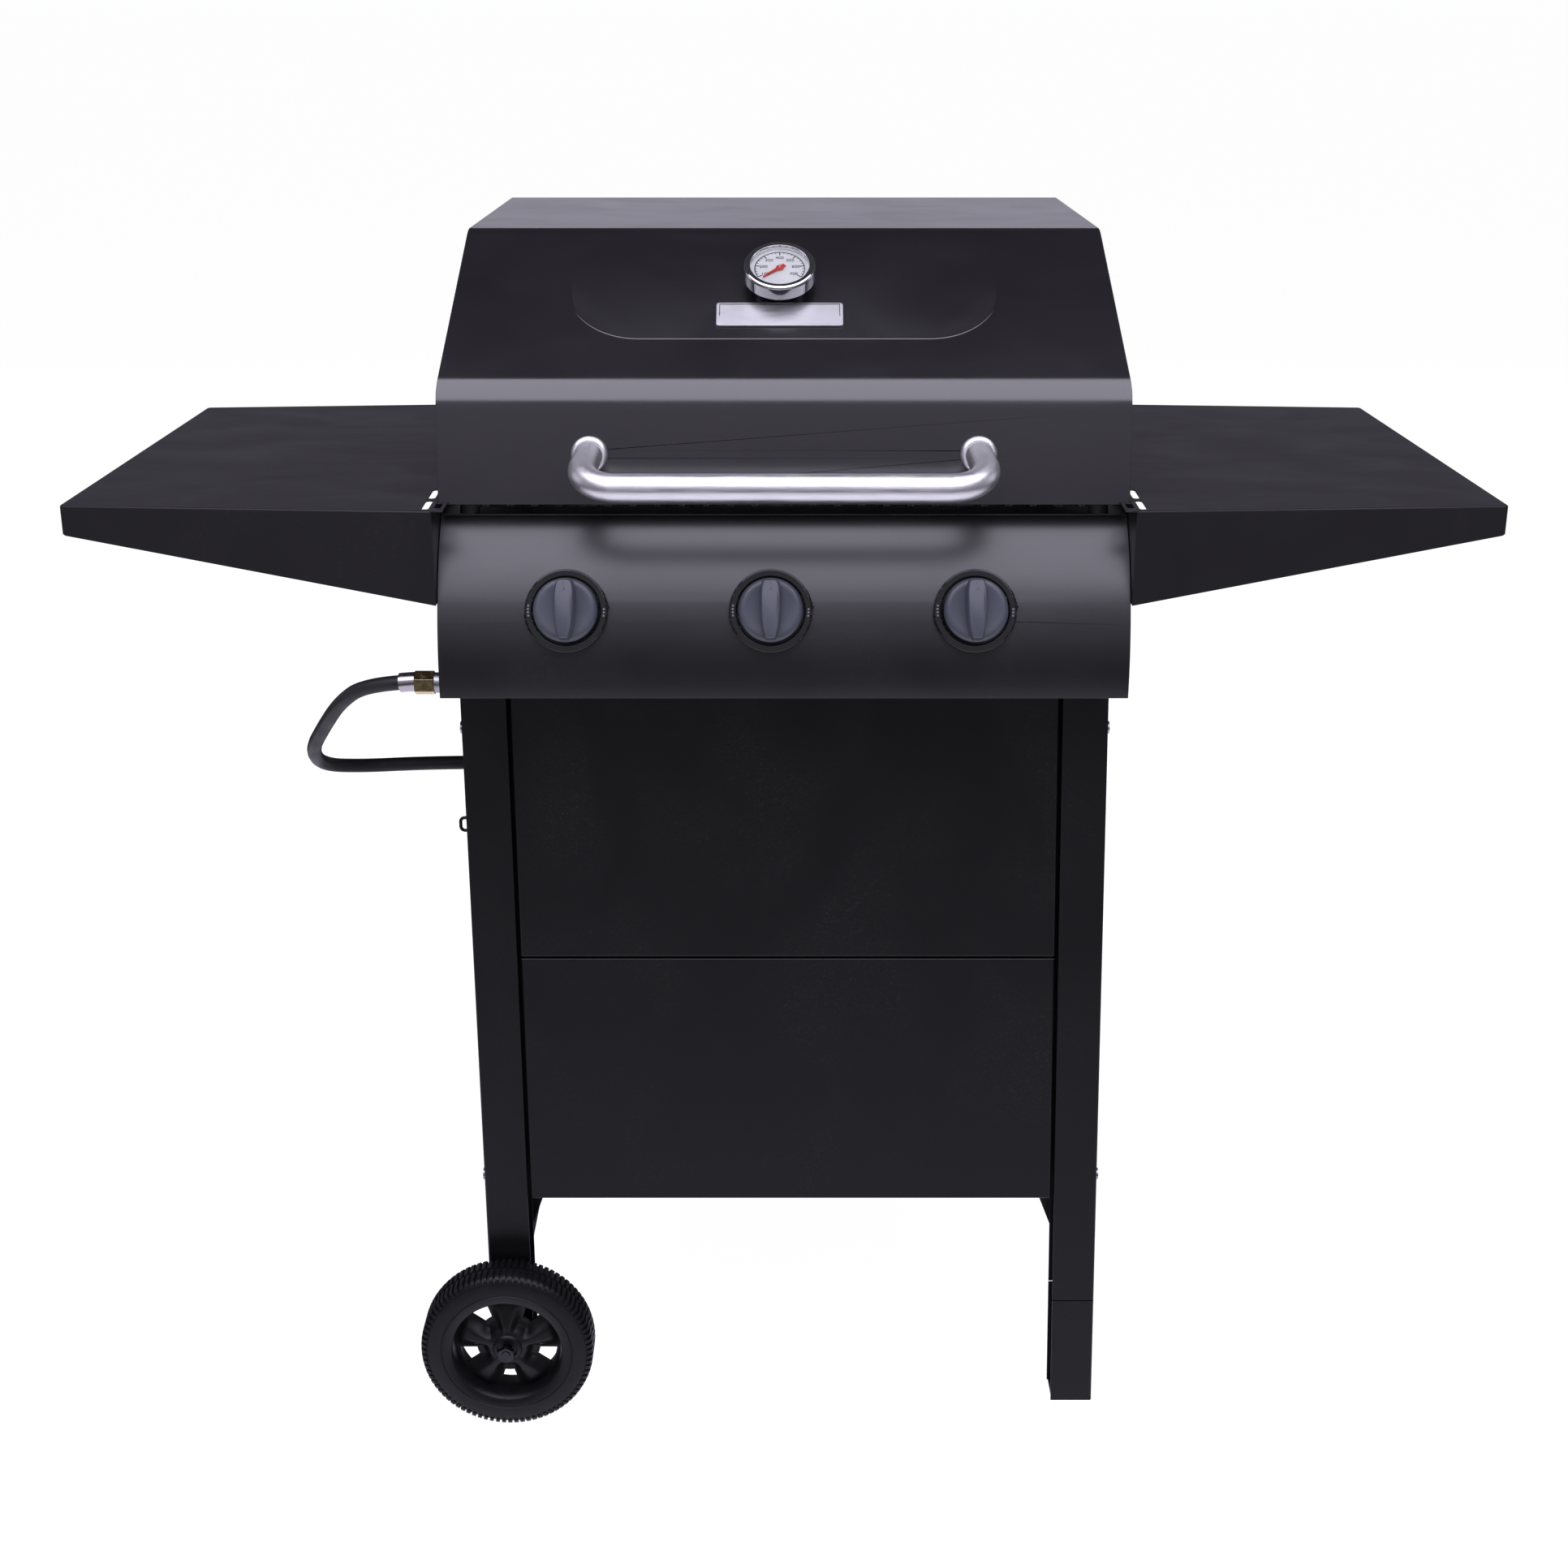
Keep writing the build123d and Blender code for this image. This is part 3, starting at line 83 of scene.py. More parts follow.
# ---- Material kit -------------------------------------------------------------------------
class Finish:
    """A node material while it is being put together."""

    def __init__(self, name, color=(0.5, 0.5, 0.5), roughness=0.5, metallic=0.0, specular=0.5):
        self.material = bpy.data.materials.new(name)
        self.material.use_nodes = True
        self.material.diffuse_color = (*color, 1.0)
        self.tree = self.material.node_tree
        self.shader = self.tree.nodes["Principled BSDF"]
        self.set("Base Color", (*color, 1.0))
        self.set("Roughness", roughness)
        self.set("Metallic", metallic)
        self.set("Specular IOR Level", specular)
        self.place = self.node("ShaderNodeTexCoord").outputs["Object"]
        self.normal = None

    def set(self, socket, value):
        """Sets one of the shader's own values."""
        self.shader.inputs[socket].default_value = value

    def node(self, kind, **values):
        """A new node with some of its settings given."""
        made = self.tree.nodes.new(kind)
        for key, value in values.items():
            setattr(made, key, value)
        return made

    def link(self, output, target):
        self.tree.links.new(output, target)

    def stretched(self, stretch):
        """The place on the object, scaled by a factor along each axis."""
        mapping = self.node("ShaderNodeMapping")
        mapping.inputs["Scale"].default_value = stretch
        self.link(self.place, mapping.inputs["Vector"])
        return mapping.outputs["Vector"]

    def noise(self, scale, detail=3.0, stretch=None, distortion=0.0):
        """Values round a half, with features 1/scale metres across."""
        made = self.node("ShaderNodeTexNoise")
        made.inputs["Scale"].default_value = scale
        made.inputs["Detail"].default_value = detail
        made.inputs["Distortion"].default_value = distortion
        self.link(self.stretched(stretch) if stretch else self.place, made.inputs["Vector"])
        return made.outputs["Fac"]

    def cells(self, scale):
        """Distance to the nearest of many scattered points, 1/scale metres apart."""
        made = self.node("ShaderNodeTexVoronoi")
        made.inputs["Scale"].default_value = scale
        self.link(self.place, made.inputs["Vector"])
        return made.outputs["Distance"]

    def spread(self, value, low, high, to_low=0.0, to_high=1.0):
        """The value's range from low to high, spread over another range."""
        made = self.node("ShaderNodeMapRange")
        limits = {"From Min": low, "From Max": high, "To Min": to_low, "To Max": to_high}
        for socket, number in limits.items():
            made.inputs[socket].default_value = number
        self.link(value, made.inputs["Value"])
        return made.outputs["Result"]

    def times(self, first, second):
        made = self.node("ShaderNodeMath", operation="MULTIPLY")
        self.link(first, made.inputs[0])
        self.link(second, made.inputs[1])
        return made.outputs["Value"]

    def color_between(self, value, first, second):
        """Colours the surface between two colours as the value goes from 0 to 1."""
        made = self.node("ShaderNodeMix", data_type="RGBA")
        made.inputs["A"].default_value = (*first, 1.0)
        made.inputs["B"].default_value = (*second, 1.0)
        self.link(value, made.inputs["Factor"])
        self.link(made.outputs["Result"], self.shader.inputs["Base Color"])
        return made.outputs["Result"]

    def color_over(self, value, under, color):
        """Lays a colour over what is under it, as much as the value says."""
        made = self.node("ShaderNodeMix", data_type="RGBA")
        self.link(under, made.inputs["A"])
        made.inputs["B"].default_value = (*color, 1.0)
        self.link(value, made.inputs["Factor"])
        self.link(made.outputs["Result"], self.shader.inputs["Base Color"])
        return made.outputs["Result"]

    def roughness(self, value, low, high):
        """Varies the roughness with a noise value."""
        self.link(self.spread(value, 0.3, 0.7, low, high), self.shader.inputs["Roughness"])

    def bump(self, value, height, strength=1.0):
        """Adds relief; the height is in metres."""
        made = self.node("ShaderNodeBump")
        made.inputs["Distance"].default_value = height
        made.inputs["Strength"].default_value = strength
        self.link(value, made.inputs["Height"])
        if self.normal:
            self.link(self.normal, made.inputs["Normal"])
        self.normal = made.outputs["Normal"]
        self.link(self.normal, self.shader.inputs["Normal"])


DUST_COLOR = (0.16, 0.15, 0.14)
DUST_COVER = 0.16


def paint(name, color, roughness, specular, peel=1.0):
    """Sprayed and baked paint: faint orange peel, hazy wiping marks and a little dust."""
    finish = Finish(name, color, roughness, specular=specular)
    haze = finish.noise(9.0, 5.0, (1.0, 1.6, 0.7), 0.6)
    speck = finish.spread(finish.noise(900.0, 2.0), 0.62, 0.72)
    mixed = finish.color_between(haze, color, [c * 1.35 + 0.001 for c in color])
    dusty = finish.spread(haze, 0.45, 0.7, 0.0, DUST_COVER)
    finish.color_over(finish.times(speck, dusty), mixed, DUST_COLOR)
    finish.roughness(haze, roughness * 0.92, roughness * 1.1)
    finish.bump(finish.noise(420.0, 2.0), 0.00002 * peel)
    finish.bump(finish.noise(60.0, 2.0), 0.00005 * peel)
    return finish


def brushed(name, color, roughness, grain=1.0):
    """Metal with fine brushing lines along the grill's width."""
    finish = Finish(name, color, roughness, metallic=1.0)
    lines = finish.noise(1800.0, 4.0, (0.02, 1.0, 1.0))
    haze = finish.noise(14.0, 4.0)
    finish.color_between(haze, [c * 0.88 for c in color], color)
    finish.roughness(lines, roughness * 0.7, roughness * 1.35)
    finish.bump(lines, 0.000012 * grain)
    return finish


def plastic(name, color, roughness, grain=0.00003, specular=0.5):
    """Moulded plastic with spark-eroded grain and faint flow marks."""
    finish = Finish(name, color, roughness, specular=specular)
    flow = finish.noise(30.0, 3.0, (1.0, 1.0, 0.5), 0.8)
    finish.color_between(flow, [c * 0.85 for c in color], [c * 1.2 for c in color])
    finish.roughness(flow, roughness * 0.85, roughness * 1.15)
    finish.bump(finish.cells(1600.0), grain)
    return finish


def cast(name, color, roughness, metallic=1.0):
    """A sand- or die-cast surface: fine pits and a cloudy skin."""
    finish = Finish(name, color, roughness, metallic)
    cloud = finish.noise(55.0, 5.0)
    finish.color_between(cloud, [c * 0.7 for c in color], color)
    finish.roughness(cloud, roughness * 0.8, roughness * 1.2)
    finish.bump(finish.noise(1300.0, 3.0), 0.00006)
    return finish


def plated(name, color, roughness):
    """Zinc or chrome plating with a slight mottle."""
    finish = Finish(name, color, roughness, 1.0)
    mottle = finish.noise(160.0, 3.0)
    finish.color_between(mottle, [c * 0.9 for c in color], color)
    finish.roughness(mottle, roughness * 0.7, roughness * 1.4)
    finish.bump(finish.noise(700.0, 2.0), 0.000006)
    return finish


def spangle(name):
    """Galvanised sheet with its crystal pattern."""
    finish = Finish(name, (0.55, 0.56, 0.57), 0.4, 1.0)
    crystal = finish.cells(120.0)
    finish.color_between(crystal, (0.42, 0.43, 0.45), (0.64, 0.65, 0.66))
    finish.roughness(crystal, 0.3, 0.5)
    finish.bump(crystal, 0.00001)
    return finish


def heated_steel(name):
    """Aluminised steel that has been hot: straw and blue tints in patches."""
    finish = Finish(name, (0.42, 0.4, 0.37), 0.45, 1.0)
    patch = finish.noise(12.0, 5.0, None, 1.0)
    mixed = finish.color_between(patch, (0.34, 0.32, 0.3), (0.5, 0.42, 0.3))
    finish.color_over(finish.spread(finish.noise(7.0, 3.0), 0.52, 0.7, 0.0, 0.6), mixed, (0.16, 0.17, 0.26))
    finish.roughness(patch, 0.35, 0.6)
    finish.bump(finish.noise(600.0, 3.0), 0.00003)
    return finish


def hose_rubber(name):
    """Matt black rubber, a little worn to grey."""
    finish = Finish(name, (0.012, 0.012, 0.013), 0.5, specular=0.35)
    haze = finish.noise(45.0, 4.0)
    finish.color_between(haze, (0.008, 0.008, 0.009), (0.02, 0.02, 0.021))
    finish.roughness(haze, 0.38, 0.62)
    finish.bump(finish.noise(1500.0, 3.0), 0.00005)
    return finish


def glass(name):
    """Clear glass with a faint smear."""
    finish = Finish(name, (0.97, 0.98, 0.98), 0.03)
    finish.set("Transmission Weight", 1.0)
    finish.set("IOR", 1.45)
    finish.roughness(finish.noise(80.0, 3.0), 0.01, 0.05)
    return finish


FINISHES = {
    "black_enamel": paint("black_enamel", (0.0072, 0.0066, 0.0078), 0.19, 0.95, 0.5),
    "panel_enamel": paint("panel_enamel", (0.0027, 0.0026, 0.0032), 0.34, 0.8),
    "black_frame": paint("black_frame", (0.0024, 0.0024, 0.003), 0.33, 0.3),
    "firebox_enamel": paint("firebox_enamel", (0.006, 0.006, 0.006), 0.25, 0.5, 1.5),
    "shelf_enamel": paint("shelf_enamel", (0.0078, 0.0072, 0.0082), 0.42, 0.26),
    "porcelain_wire": plated("porcelain_wire", (0.62, 0.62, 0.62), 0.3),
    "heat_steel": heated_steel("heat_steel"),
    "stainless": brushed("stainless", (0.92, 0.91, 0.92), 0.4),
    "chrome": plated("chrome", (0.78, 0.78, 0.79), 0.08),
    "dial_white": plastic("dial_white", (0.78, 0.78, 0.76), 0.4),
    "needle_red": plastic("needle_red", (0.62, 0.035, 0.02), 0.35),
    "glass": glass("glass"),
    "badge_silver": brushed("badge_silver", (0.6, 0.6, 0.61), 0.46, 2.0),
    "knob_plastic": plastic("knob_plastic", (0.048, 0.052, 0.07), 0.36),
    "wheel_plastic": plastic("wheel_plastic", (0.005, 0.0052, 0.0064), 0.4, 0.00006, 0.28),
    "bezel_gloss": plastic("bezel_gloss", (0.008, 0.008, 0.0085), 0.12, 0.000004),
    "zinc": plated("zinc", (0.5, 0.51, 0.52), 0.28),
    "cast_aluminium": cast("cast_aluminium", (0.46, 0.46, 0.47), 0.5),
    "manifold_steel": plated("manifold_steel", (0.42, 0.43, 0.44), 0.35),
    "brass": plated("brass", (0.72, 0.56, 0.27), 0.2),
    "ferrule_steel": plated("ferrule_steel", (0.52, 0.49, 0.51), 0.22),
    "hose_rubber": hose_rubber("hose_rubber"),
    "coupling_plastic": plastic("coupling_plastic", (0.015, 0.015, 0.016), 0.45, 0.00008),
    "galvanised": spangle("galvanised"),
    "black_zinc": plated("black_zinc", (0.06, 0.06, 0.065), 0.3),
    "print_grey": plastic("print_grey", (0.16, 0.16, 0.17), 0.5),
    "dial_black": plastic("dial_black", (0.01, 0.01, 0.01), 0.5),
}
# Nodes whose finish differs from the slot they have in the record.
SPECIAL_FINISH = {
    "handle_flanges": "stainless",
    "control_panel": "panel_enamel",
    "side_shelf_left": "shelf_enamel", "side_shelf_right": "shelf_enamel",
    "wheel_front": "wheel_plastic", "wheel_rear": "wheel_plastic",
    "axle": "black_zinc", "axle_nuts": "black_zinc", "axle_washers": "wheel_plastic",
}


# ---- Mesh kit -----------------------------------------------------------------------------
def dress(piece, finish):
    """Gives a piece one of the finishes as its only material."""
    piece.data.materials.clear()
    piece.data.materials.append(FINISHES[finish].material)


def add_piece(name, mesh, finish, body):
    """Puts a visible piece in the scene, riding on a body, with its finish as its only material."""
    piece = put_in_scene(name, mesh)
    dress(piece, finish)
    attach(piece, body)
    return piece


def axes_at(origin, normal):
    """A local frame with Z along a normal and X along the grill's width."""
    z = Vector(normal).normalized()
    x = Vector((1, 0, 0))
    y = z.cross(x)
    rotation = Matrix((x, y, z)).transposed().to_4x4()
    return Matrix.Translation(Vector(origin)) @ rotation


def finish_mesh(built, name, place, smooth_angle=40.0):
    """Turns a bmesh into a mesh in the shared frame, smooth except over sharp edges."""
    bmesh.ops.recalc_face_normals(built, faces=built.faces)
    mesh = bpy.data.meshes.new(name)
    built.to_mesh(mesh)
    built.free()
    mesh.transform(place)
    mesh.polygons.foreach_set("use_smooth", [True] * len(mesh.polygons))
    mesh.set_sharp_from_angle(angle=math.radians(smooth_angle))
    return mesh


SHARPEST_SMOOTH_BEND = 32


def round_edges(piece, width):
    """Small rounded edges that catch the light, with the flat faces kept flat to the eye."""
    bevel = piece.modifiers.new("edges", "BEVEL")
    bevel.width = width
    bevel.segments = 2
    bevel.use_clamp_overlap = False
    bevel.limit_method = "ANGLE"
    bevel.angle_limit = math.radians(SHARPEST_SMOOTH_BEND)
    shading = piece.modifiers.new("shading", "WEIGHTED_NORMAL")
    shading.weight = 90
    shading.keep_sharp = False


def smooth(t):
    """Rises from 0 to 1 as t does, level at both ends."""
    t = min(max(t, 0.0), 1.0)
    return t * t * (3.0 - 2.0 * t)


def polar(radius, angle):
    """The X and Y of a point at a radius and an angle."""
    return radius * math.cos(angle), radius * math.sin(angle)


def bar(inner, outer, half_width, angle):
    """The corners of a straight bar that runs outward at an angle."""
    c, s = math.cos(angle), math.sin(angle)
    ends = ((inner, -half_width), (outer, -half_width), (outer, half_width), (inner, half_width))
    return [(along * c - across * s, along * s + across * c) for along, across in ends]


def join_rings(built, rings):
    """Faces between each closed ring of points and the next."""
    for first, second in zip(rings, rings[1:]):
        for i in range(len(first)):
            j = (i + 1) % len(first)
            built.faces.new((first[i], first[j], second[j], second[i]))


def turned(built, profile, steps, closed=False):
    """Revolves a (radius, height) outline, in millimetres, about Z."""
    rings = []
    for radius, height in profile:
        if radius == 0:
            rings.append([built.verts.new((0, 0, height * MM))])
            continue
        turns = [math.tau * i / steps for i in range(steps)]
        rings.append([built.verts.new((*polar(radius * MM, angle), height * MM)) for angle in turns])
    if closed:
        rings.append(rings[0])
    for lower, upper in zip(rings, rings[1:]):
        for i in range(steps):
            j = (i + 1) % steps
            corners = [lower[i % len(lower)], lower[j % len(lower)]]
            corners += [upper[j % len(upper)], upper[i % len(upper)]]
            unique = list(dict.fromkeys(corners))
            if len(unique) > 2:
                built.faces.new(unique)


def slab(built, points, low, high):
    """A flat outline in X and Y, given thickness, in millimetres."""
    bottom = [built.verts.new((x * MM, y * MM, low * MM)) for x, y in points]
    top = [built.verts.new((x * MM, y * MM, high * MM)) for x, y in points]
    built.faces.new(top)
    built.faces.new(list(reversed(bottom)))
    for i in range(len(points)):
        j = (i + 1) % len(points)
        built.faces.new((bottom[i], bottom[j], top[j], top[i]))


# ---- CAD nodes kept as they are -----------------------------------------------------------
# Widths of the rounded edges, in millimetres.
EDGE_WIDTHS = {
    "lid_shell": 0.5, "control_panel": 0.5, "side_shelf_left": 0.5, "side_shelf_right": 0.5,
    "front_panel_upper": 0.4, "front_panel_lower": 0.4, "firebox": 0.5,
    "leg_front_left": 0.4, "leg_front_right": 0.4, "leg_rear_left": 0.4, "leg_rear_right": 0.4,
    "wheel_front": 0.8, "wheel_rear": 0.8, "knob_bezels": 0.4, "handle_flanges": 0.5,
}
SMALL_EDGE = 0.25
WELD_REACH = 0.01 * MM


def dress_nodes():
    """Gives every CAD node its finish, welded corners and small rounded edges."""
    slots = {part["node"]: part["material_slot"] for part in frame["record"]["subparts"]}
    for name, node in NODES.items():
        dress(node, SPECIAL_FINISH.get(name, slots[name]))
        weld = node.modifiers.new("weld", "WELD")
        weld.merge_threshold = WELD_REACH
        node.data.polygons.foreach_set("use_smooth", [True] * len(node.data.polygons))
        round_edges(node, EDGE_WIDTHS.get(name, SMALL_EDGE) * MM)


# ---- Hose ---------------------------------------------------------------------------------
HOSE_DIAMETER = 14 * MM
# The hose's route, as (across, behind the depth datum, up), in millimetres.
HOSE_POINTS = [
    (-354, 5, 796.5), (-388, 8, 793), (-415, 25, 771), (-438, 54, 737), (-460, 92, 700),
    (-459, 134, 670), (-427, 164, 658), (-376, 180, 655), (-322, 189, 653), (-272, 199, 650),
    (-228, 226, 648), (-203, 270, 648), (-195, 318, 650),
]


def make_hose():
    """The gas hose, from its nut under the control panel to the regulator."""
    curve = bpy.data.curves.new("gas_hose_line", "CURVE")
    curve.dimensions = "3D"
    curve.bevel_depth = HOSE_DIAMETER / 2
    curve.bevel_resolution = 6
    curve.resolution_u = 16
    curve.use_fill_caps = True
    spline = curve.splines.new("NURBS")
    spline.points.add(len(HOSE_POINTS) - 1)
    for point, (x, behind, z) in zip(spline.points, HOSE_POINTS):
        point.co = (x * MM, DEPTH_DATUM + behind * MM, z * MM, 1.0)
    spline.order_u = 3
    spline.use_endpoint_u = True
    hose = put_in_scene("rubber_hose", curve)
    dress(hose, "hose_rubber")
    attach(hose, "cart")
    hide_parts("gas_hose")


# ---- Knobs --------------------------------------------------------------------------------
# The skirt's outline, as (radius, height) in millimetres out of the panel.
KNOB_SKIRT = [
    (26.0, 7.4), (28.2, 7.1), (28.8, 7.6), (28.9, 12.5), (28.3, 14.6), (26.8, 16.2), (24.6, 16.9),
    (22.0, 16.5), (9.0, 15.8), (0, 15.7),
]
GRIP_HALF_LENGTH = 27.6
GRIP_HALF_WIDTH = 9.8
GRIP_FOOT, GRIP_RIDGE = 17.0, 32.0
RIDGE_FALL = 6.0
# The grip's levels, as (share of its width, millimetres off each end, height).
GRIP_LEVELS = [
    (1.0, 0.0, 15.0), (0.98, 0.1, 20.0), (0.93, 0.5, 26.0), (0.87, 1.1, 30.0), (0.81, 2.0, 31.4),
    (0.7, 3.2, 31.9),
]
POINTER_LOW, POINTER_HIGH, POINTER_HALF_WIDTH = 17.0, 23.5, 0.9
BEZEL_MARK_RADIUS = 34.9


def knob_frame(name):
    """The frame of a knob's turning axis, with its Z out of the panel."""
    joint = JOINTS["knob_turn_" + name]
    return axes_at(joint["pos_m"], joint["axis"])


def ridge_drop(y):
    """How far the grip's ridge lies below its highest part, at a height on the knob's face."""
    return RIDGE_FALL * smooth((y - 5.0) / 22.0)


def grip_ring(narrowing, shortening, height, steps=64):
    """The grip's outline at one level, with blunt ends: the upper end is wider than the lower."""
    ring = []
    for i in range(steps):
        across, along = polar(1.0, math.tau * i / steps)
        y = (GRIP_HALF_LENGTH - shortening) * math.copysign(abs(along) ** 0.42, along)
        t = y / GRIP_HALF_LENGTH
        half_width = (GRIP_HALF_WIDTH - 2.5 * t * t + 1.3 * t) * narrowing
        x = half_width * math.copysign(abs(across) ** 0.3, across)
        drop = ridge_drop(y) * max(0.0, (height - GRIP_FOOT) / (GRIP_RIDGE - GRIP_FOOT))
        ring.append((x, y, height - drop))
    return ring


def make_knob(name):
    """A moulded knob: a round skirt with a grip across it."""
    place = knob_frame(name)
    built = bmesh.new()
    turned(built, KNOB_SKIRT, 96)
    rings = [[built.verts.new(Vector(point) * MM) for point in grip_ring(*level)] for level in GRIP_LEVELS]
    join_rings(built, rings)
    built.faces.new(rings[-1])
    mesh = finish_mesh(built, "knob_grip_" + name, place, 50.0)
    knob = add_piece("knob_grip_" + name, mesh, "knob_plastic", "knob_" + name)
    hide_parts("knob_" + name)


def make_knob_pointer(name):
    """The short line moulded on the upper end of a knob's grip."""
    built = bmesh.new()
    slab(built, bar(POINTER_LOW, POINTER_HIGH, POINTER_HALF_WIDTH, math.pi / 2), 30.0, GRIP_RIDGE)
    for vertex in built.verts:
        vertex.co.z -= ridge_drop(vertex.co.y / MM) * MM
    mesh = finish_mesh(built, "knob_pointer_" + name, knob_frame(name))
    add_piece("knob_pointer_" + name, mesh, "bezel_gloss", "knob_" + name)


def make_bezel_marks(name):
    """Two rows of short marks moulded on the bezel, to the left and right of the knob."""
    built = bmesh.new()
    for start, count in ((171.0, 4), (-9.0, 3)):
        for i in range(count):
            low = start + i * 5.0
            mark = arc_points(BEZEL_MARK_RADIUS, 1.6, low, low + 2.6, 3)
            slab(built, mark, 4.9, 5.12)
    mesh = finish_mesh(built, "bezel_marks_" + name, knob_frame(name))
    add_piece("bezel_marks_" + name, mesh, "print_grey", "cart")


# ---- Thermometer --------------------------------------------------------------------------
DIAL_FACE, DIAL_PRINT_TOP = 18.95, 19.2
SCALE_START, SCALE_END = 210, -30
SCALE_RADIUS = 23.5
TICK_COUNT, TICK_ANGLE, TICKS_PER_NUMBER = 25, 10, 4
NUMBER_COUNT, NUMBER_RADIUS, NUMBER_SIZE = 7, 15.2, 5.2


def gauge_frame():
    """The frame of the thermometer's needle, with its Z out of the lid."""
    joint = JOINTS["gauge_needle_turn"]
    return axes_at(joint["pos_m"], [-v for v in joint["axis"]])


def arc_points(radius, width, start, end, steps):
    """The outline of a curved band, between two angles in degrees."""
    angles = [math.radians(start + (end - start) * i / steps) for i in range(steps + 1)]
    outer = [polar(radius, angle) for angle in angles]
    inner = [polar(radius - width, angle) for angle in reversed(angles)]
    return outer + inner


def make_dial_scale():
    """The dial's arc and ticks, as thin raised print."""
    built = bmesh.new()
    slab(built, arc_points(SCALE_RADIUS, 0.8, SCALE_END, SCALE_START, 60), DIAL_FACE, DIAL_PRINT_TOP)
    for i in range(TICK_COUNT):
        inner, half_width = (19.0, 0.45) if i % TICKS_PER_NUMBER == 0 else (21.0, 0.25)
        tick = bar(inner, 23, half_width, math.radians(SCALE_START - i * TICK_ANGLE))
        slab(built, tick, DIAL_FACE, DIAL_PRINT_TOP)
    mesh = finish_mesh(built, "dial_scale", gauge_frame())
    add_piece("dial_scale", mesh, "dial_black", "lid")


def make_dial_numbers():
    """The dial's temperatures, inside its ticks."""
    for i in range(NUMBER_COUNT):
        angle = math.radians(SCALE_START - i * TICK_ANGLE * TICKS_PER_NUMBER)
        text = bpy.data.curves.new("dial_number", "FONT")
        text.body = str((i + 1) * 100)
        text.size = NUMBER_SIZE * MM
        text.align_x = "CENTER"
        text.align_y = "CENTER"
        text.extrude = 0.1 * MM
        number = put_in_scene("dial_number_" + str(i + 1), text)
        spot = Vector((*polar(NUMBER_RADIUS, angle), 19.1)) * MM
        number.matrix_world = gauge_frame() @ Matrix.Translation(spot)
        dress(number, "dial_black")
        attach(number, "lid")


# ---- Lid's pressed recess -----------------------------------------------------------------
# Heights are distances up the lid's slope.
RECESS_HALF_WIDTH = 199.0
RECESS_BOTTOM, RECESS_TOP = 68.0, 156.0
RECESS_CORNER = 66.0
GAUGE_UP = 142.0
LIP_END = RECESS_TOP - 4.0
LIP_SIDES = 12


def recess_path(steps=16):
    """The recess's side and bottom edges, from its upper left to its upper right."""
    corner_x, corner_up = RECESS_HALF_WIDTH - RECESS_CORNER, RECESS_BOTTOM + RECESS_CORNER
    left = [(-RECESS_HALF_WIDTH, LIP_END)]
    for i in range(steps + 1):
        across, up = polar(RECESS_CORNER, math.pi + math.pi / 2 * i / steps)
        left.append((across - corner_x, up + corner_up))
    right = [(-x, up) for x, up in reversed(left)]
    return left + right


def make_recess_lip():
    """The rounded edge where the sheet turns down into the recess, fading out towards its top."""
    gauge = Vector((JOINTS["gauge_needle_turn"]["pos_m"][0] / MM, GAUGE_UP, 0))
    points = [Vector((x, up, 0)) for x, up in recess_path()]
    turns = [math.tau * k / LIP_SIDES for k in range(LIP_SIDES)]
    built = bmesh.new()
    rings = []
    for i, point in enumerate(points):
        ahead = points[min(i + 1, len(points) - 1)] - points[max(i - 1, 0)]
        outward = Vector((ahead.y, -ahead.x, 0)).normalized()
        depth = (RECESS_TOP - point.y) / (RECESS_TOP - RECESS_BOTTOM)
        radius = 0.2 + 1.5 * depth
        middle = point - gauge - outward * 0.1 + Vector((0, 0, 0.5 * depth - radius))
        ring = []
        for aside, above in [polar(radius, turn) for turn in turns]:
            ring.append(built.verts.new((middle + outward * aside + Vector((0, 0, above))) * MM))
        rings.append(ring)
    join_rings(built, rings)
    built.faces.new(rings[0])
    built.faces.new(rings[-1])
    mesh = finish_mesh(built, "recess_lip", gauge_frame())
    add_piece("recess_lip", mesh, "black_enamel", "lid")


# ---- Badge --------------------------------------------------------------------------------
BORDER_INSET = 2.6
BORDER_WIDTH = 0.7
BORDER_TOP = 1.06


def make_badge_border():
    """A dark line let into the plain badge, just inside its edge."""
    low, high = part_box("badge")
    middle = (low + high) / 2
    rise, run = high.z - low.z, high.y - low.y
    length = math.hypot(rise, run)
    normal = Vector((0.0, -rise, run)) / length
    half_x = (high.x - low.x) / 2 / MM - BORDER_INSET
    half_y = length / 2 / MM - BORDER_INSET
    line = BORDER_WIDTH
    built = bmesh.new()
    for y in (-half_y, half_y - line):
        slab(built, [(-half_x, y), (half_x, y), (half_x, y + line), (-half_x, y + line)], 0.0, BORDER_TOP)
    for x in (-half_x, half_x - line):
        slab(built, [(x, -half_y), (x + line, -half_y), (x + line, half_y), (x, half_y)], 0.0, BORDER_TOP)
    mesh = finish_mesh(built, "badge_border", axes_at(middle, normal))
    add_piece("badge_border", mesh, "dial_black", "lid")


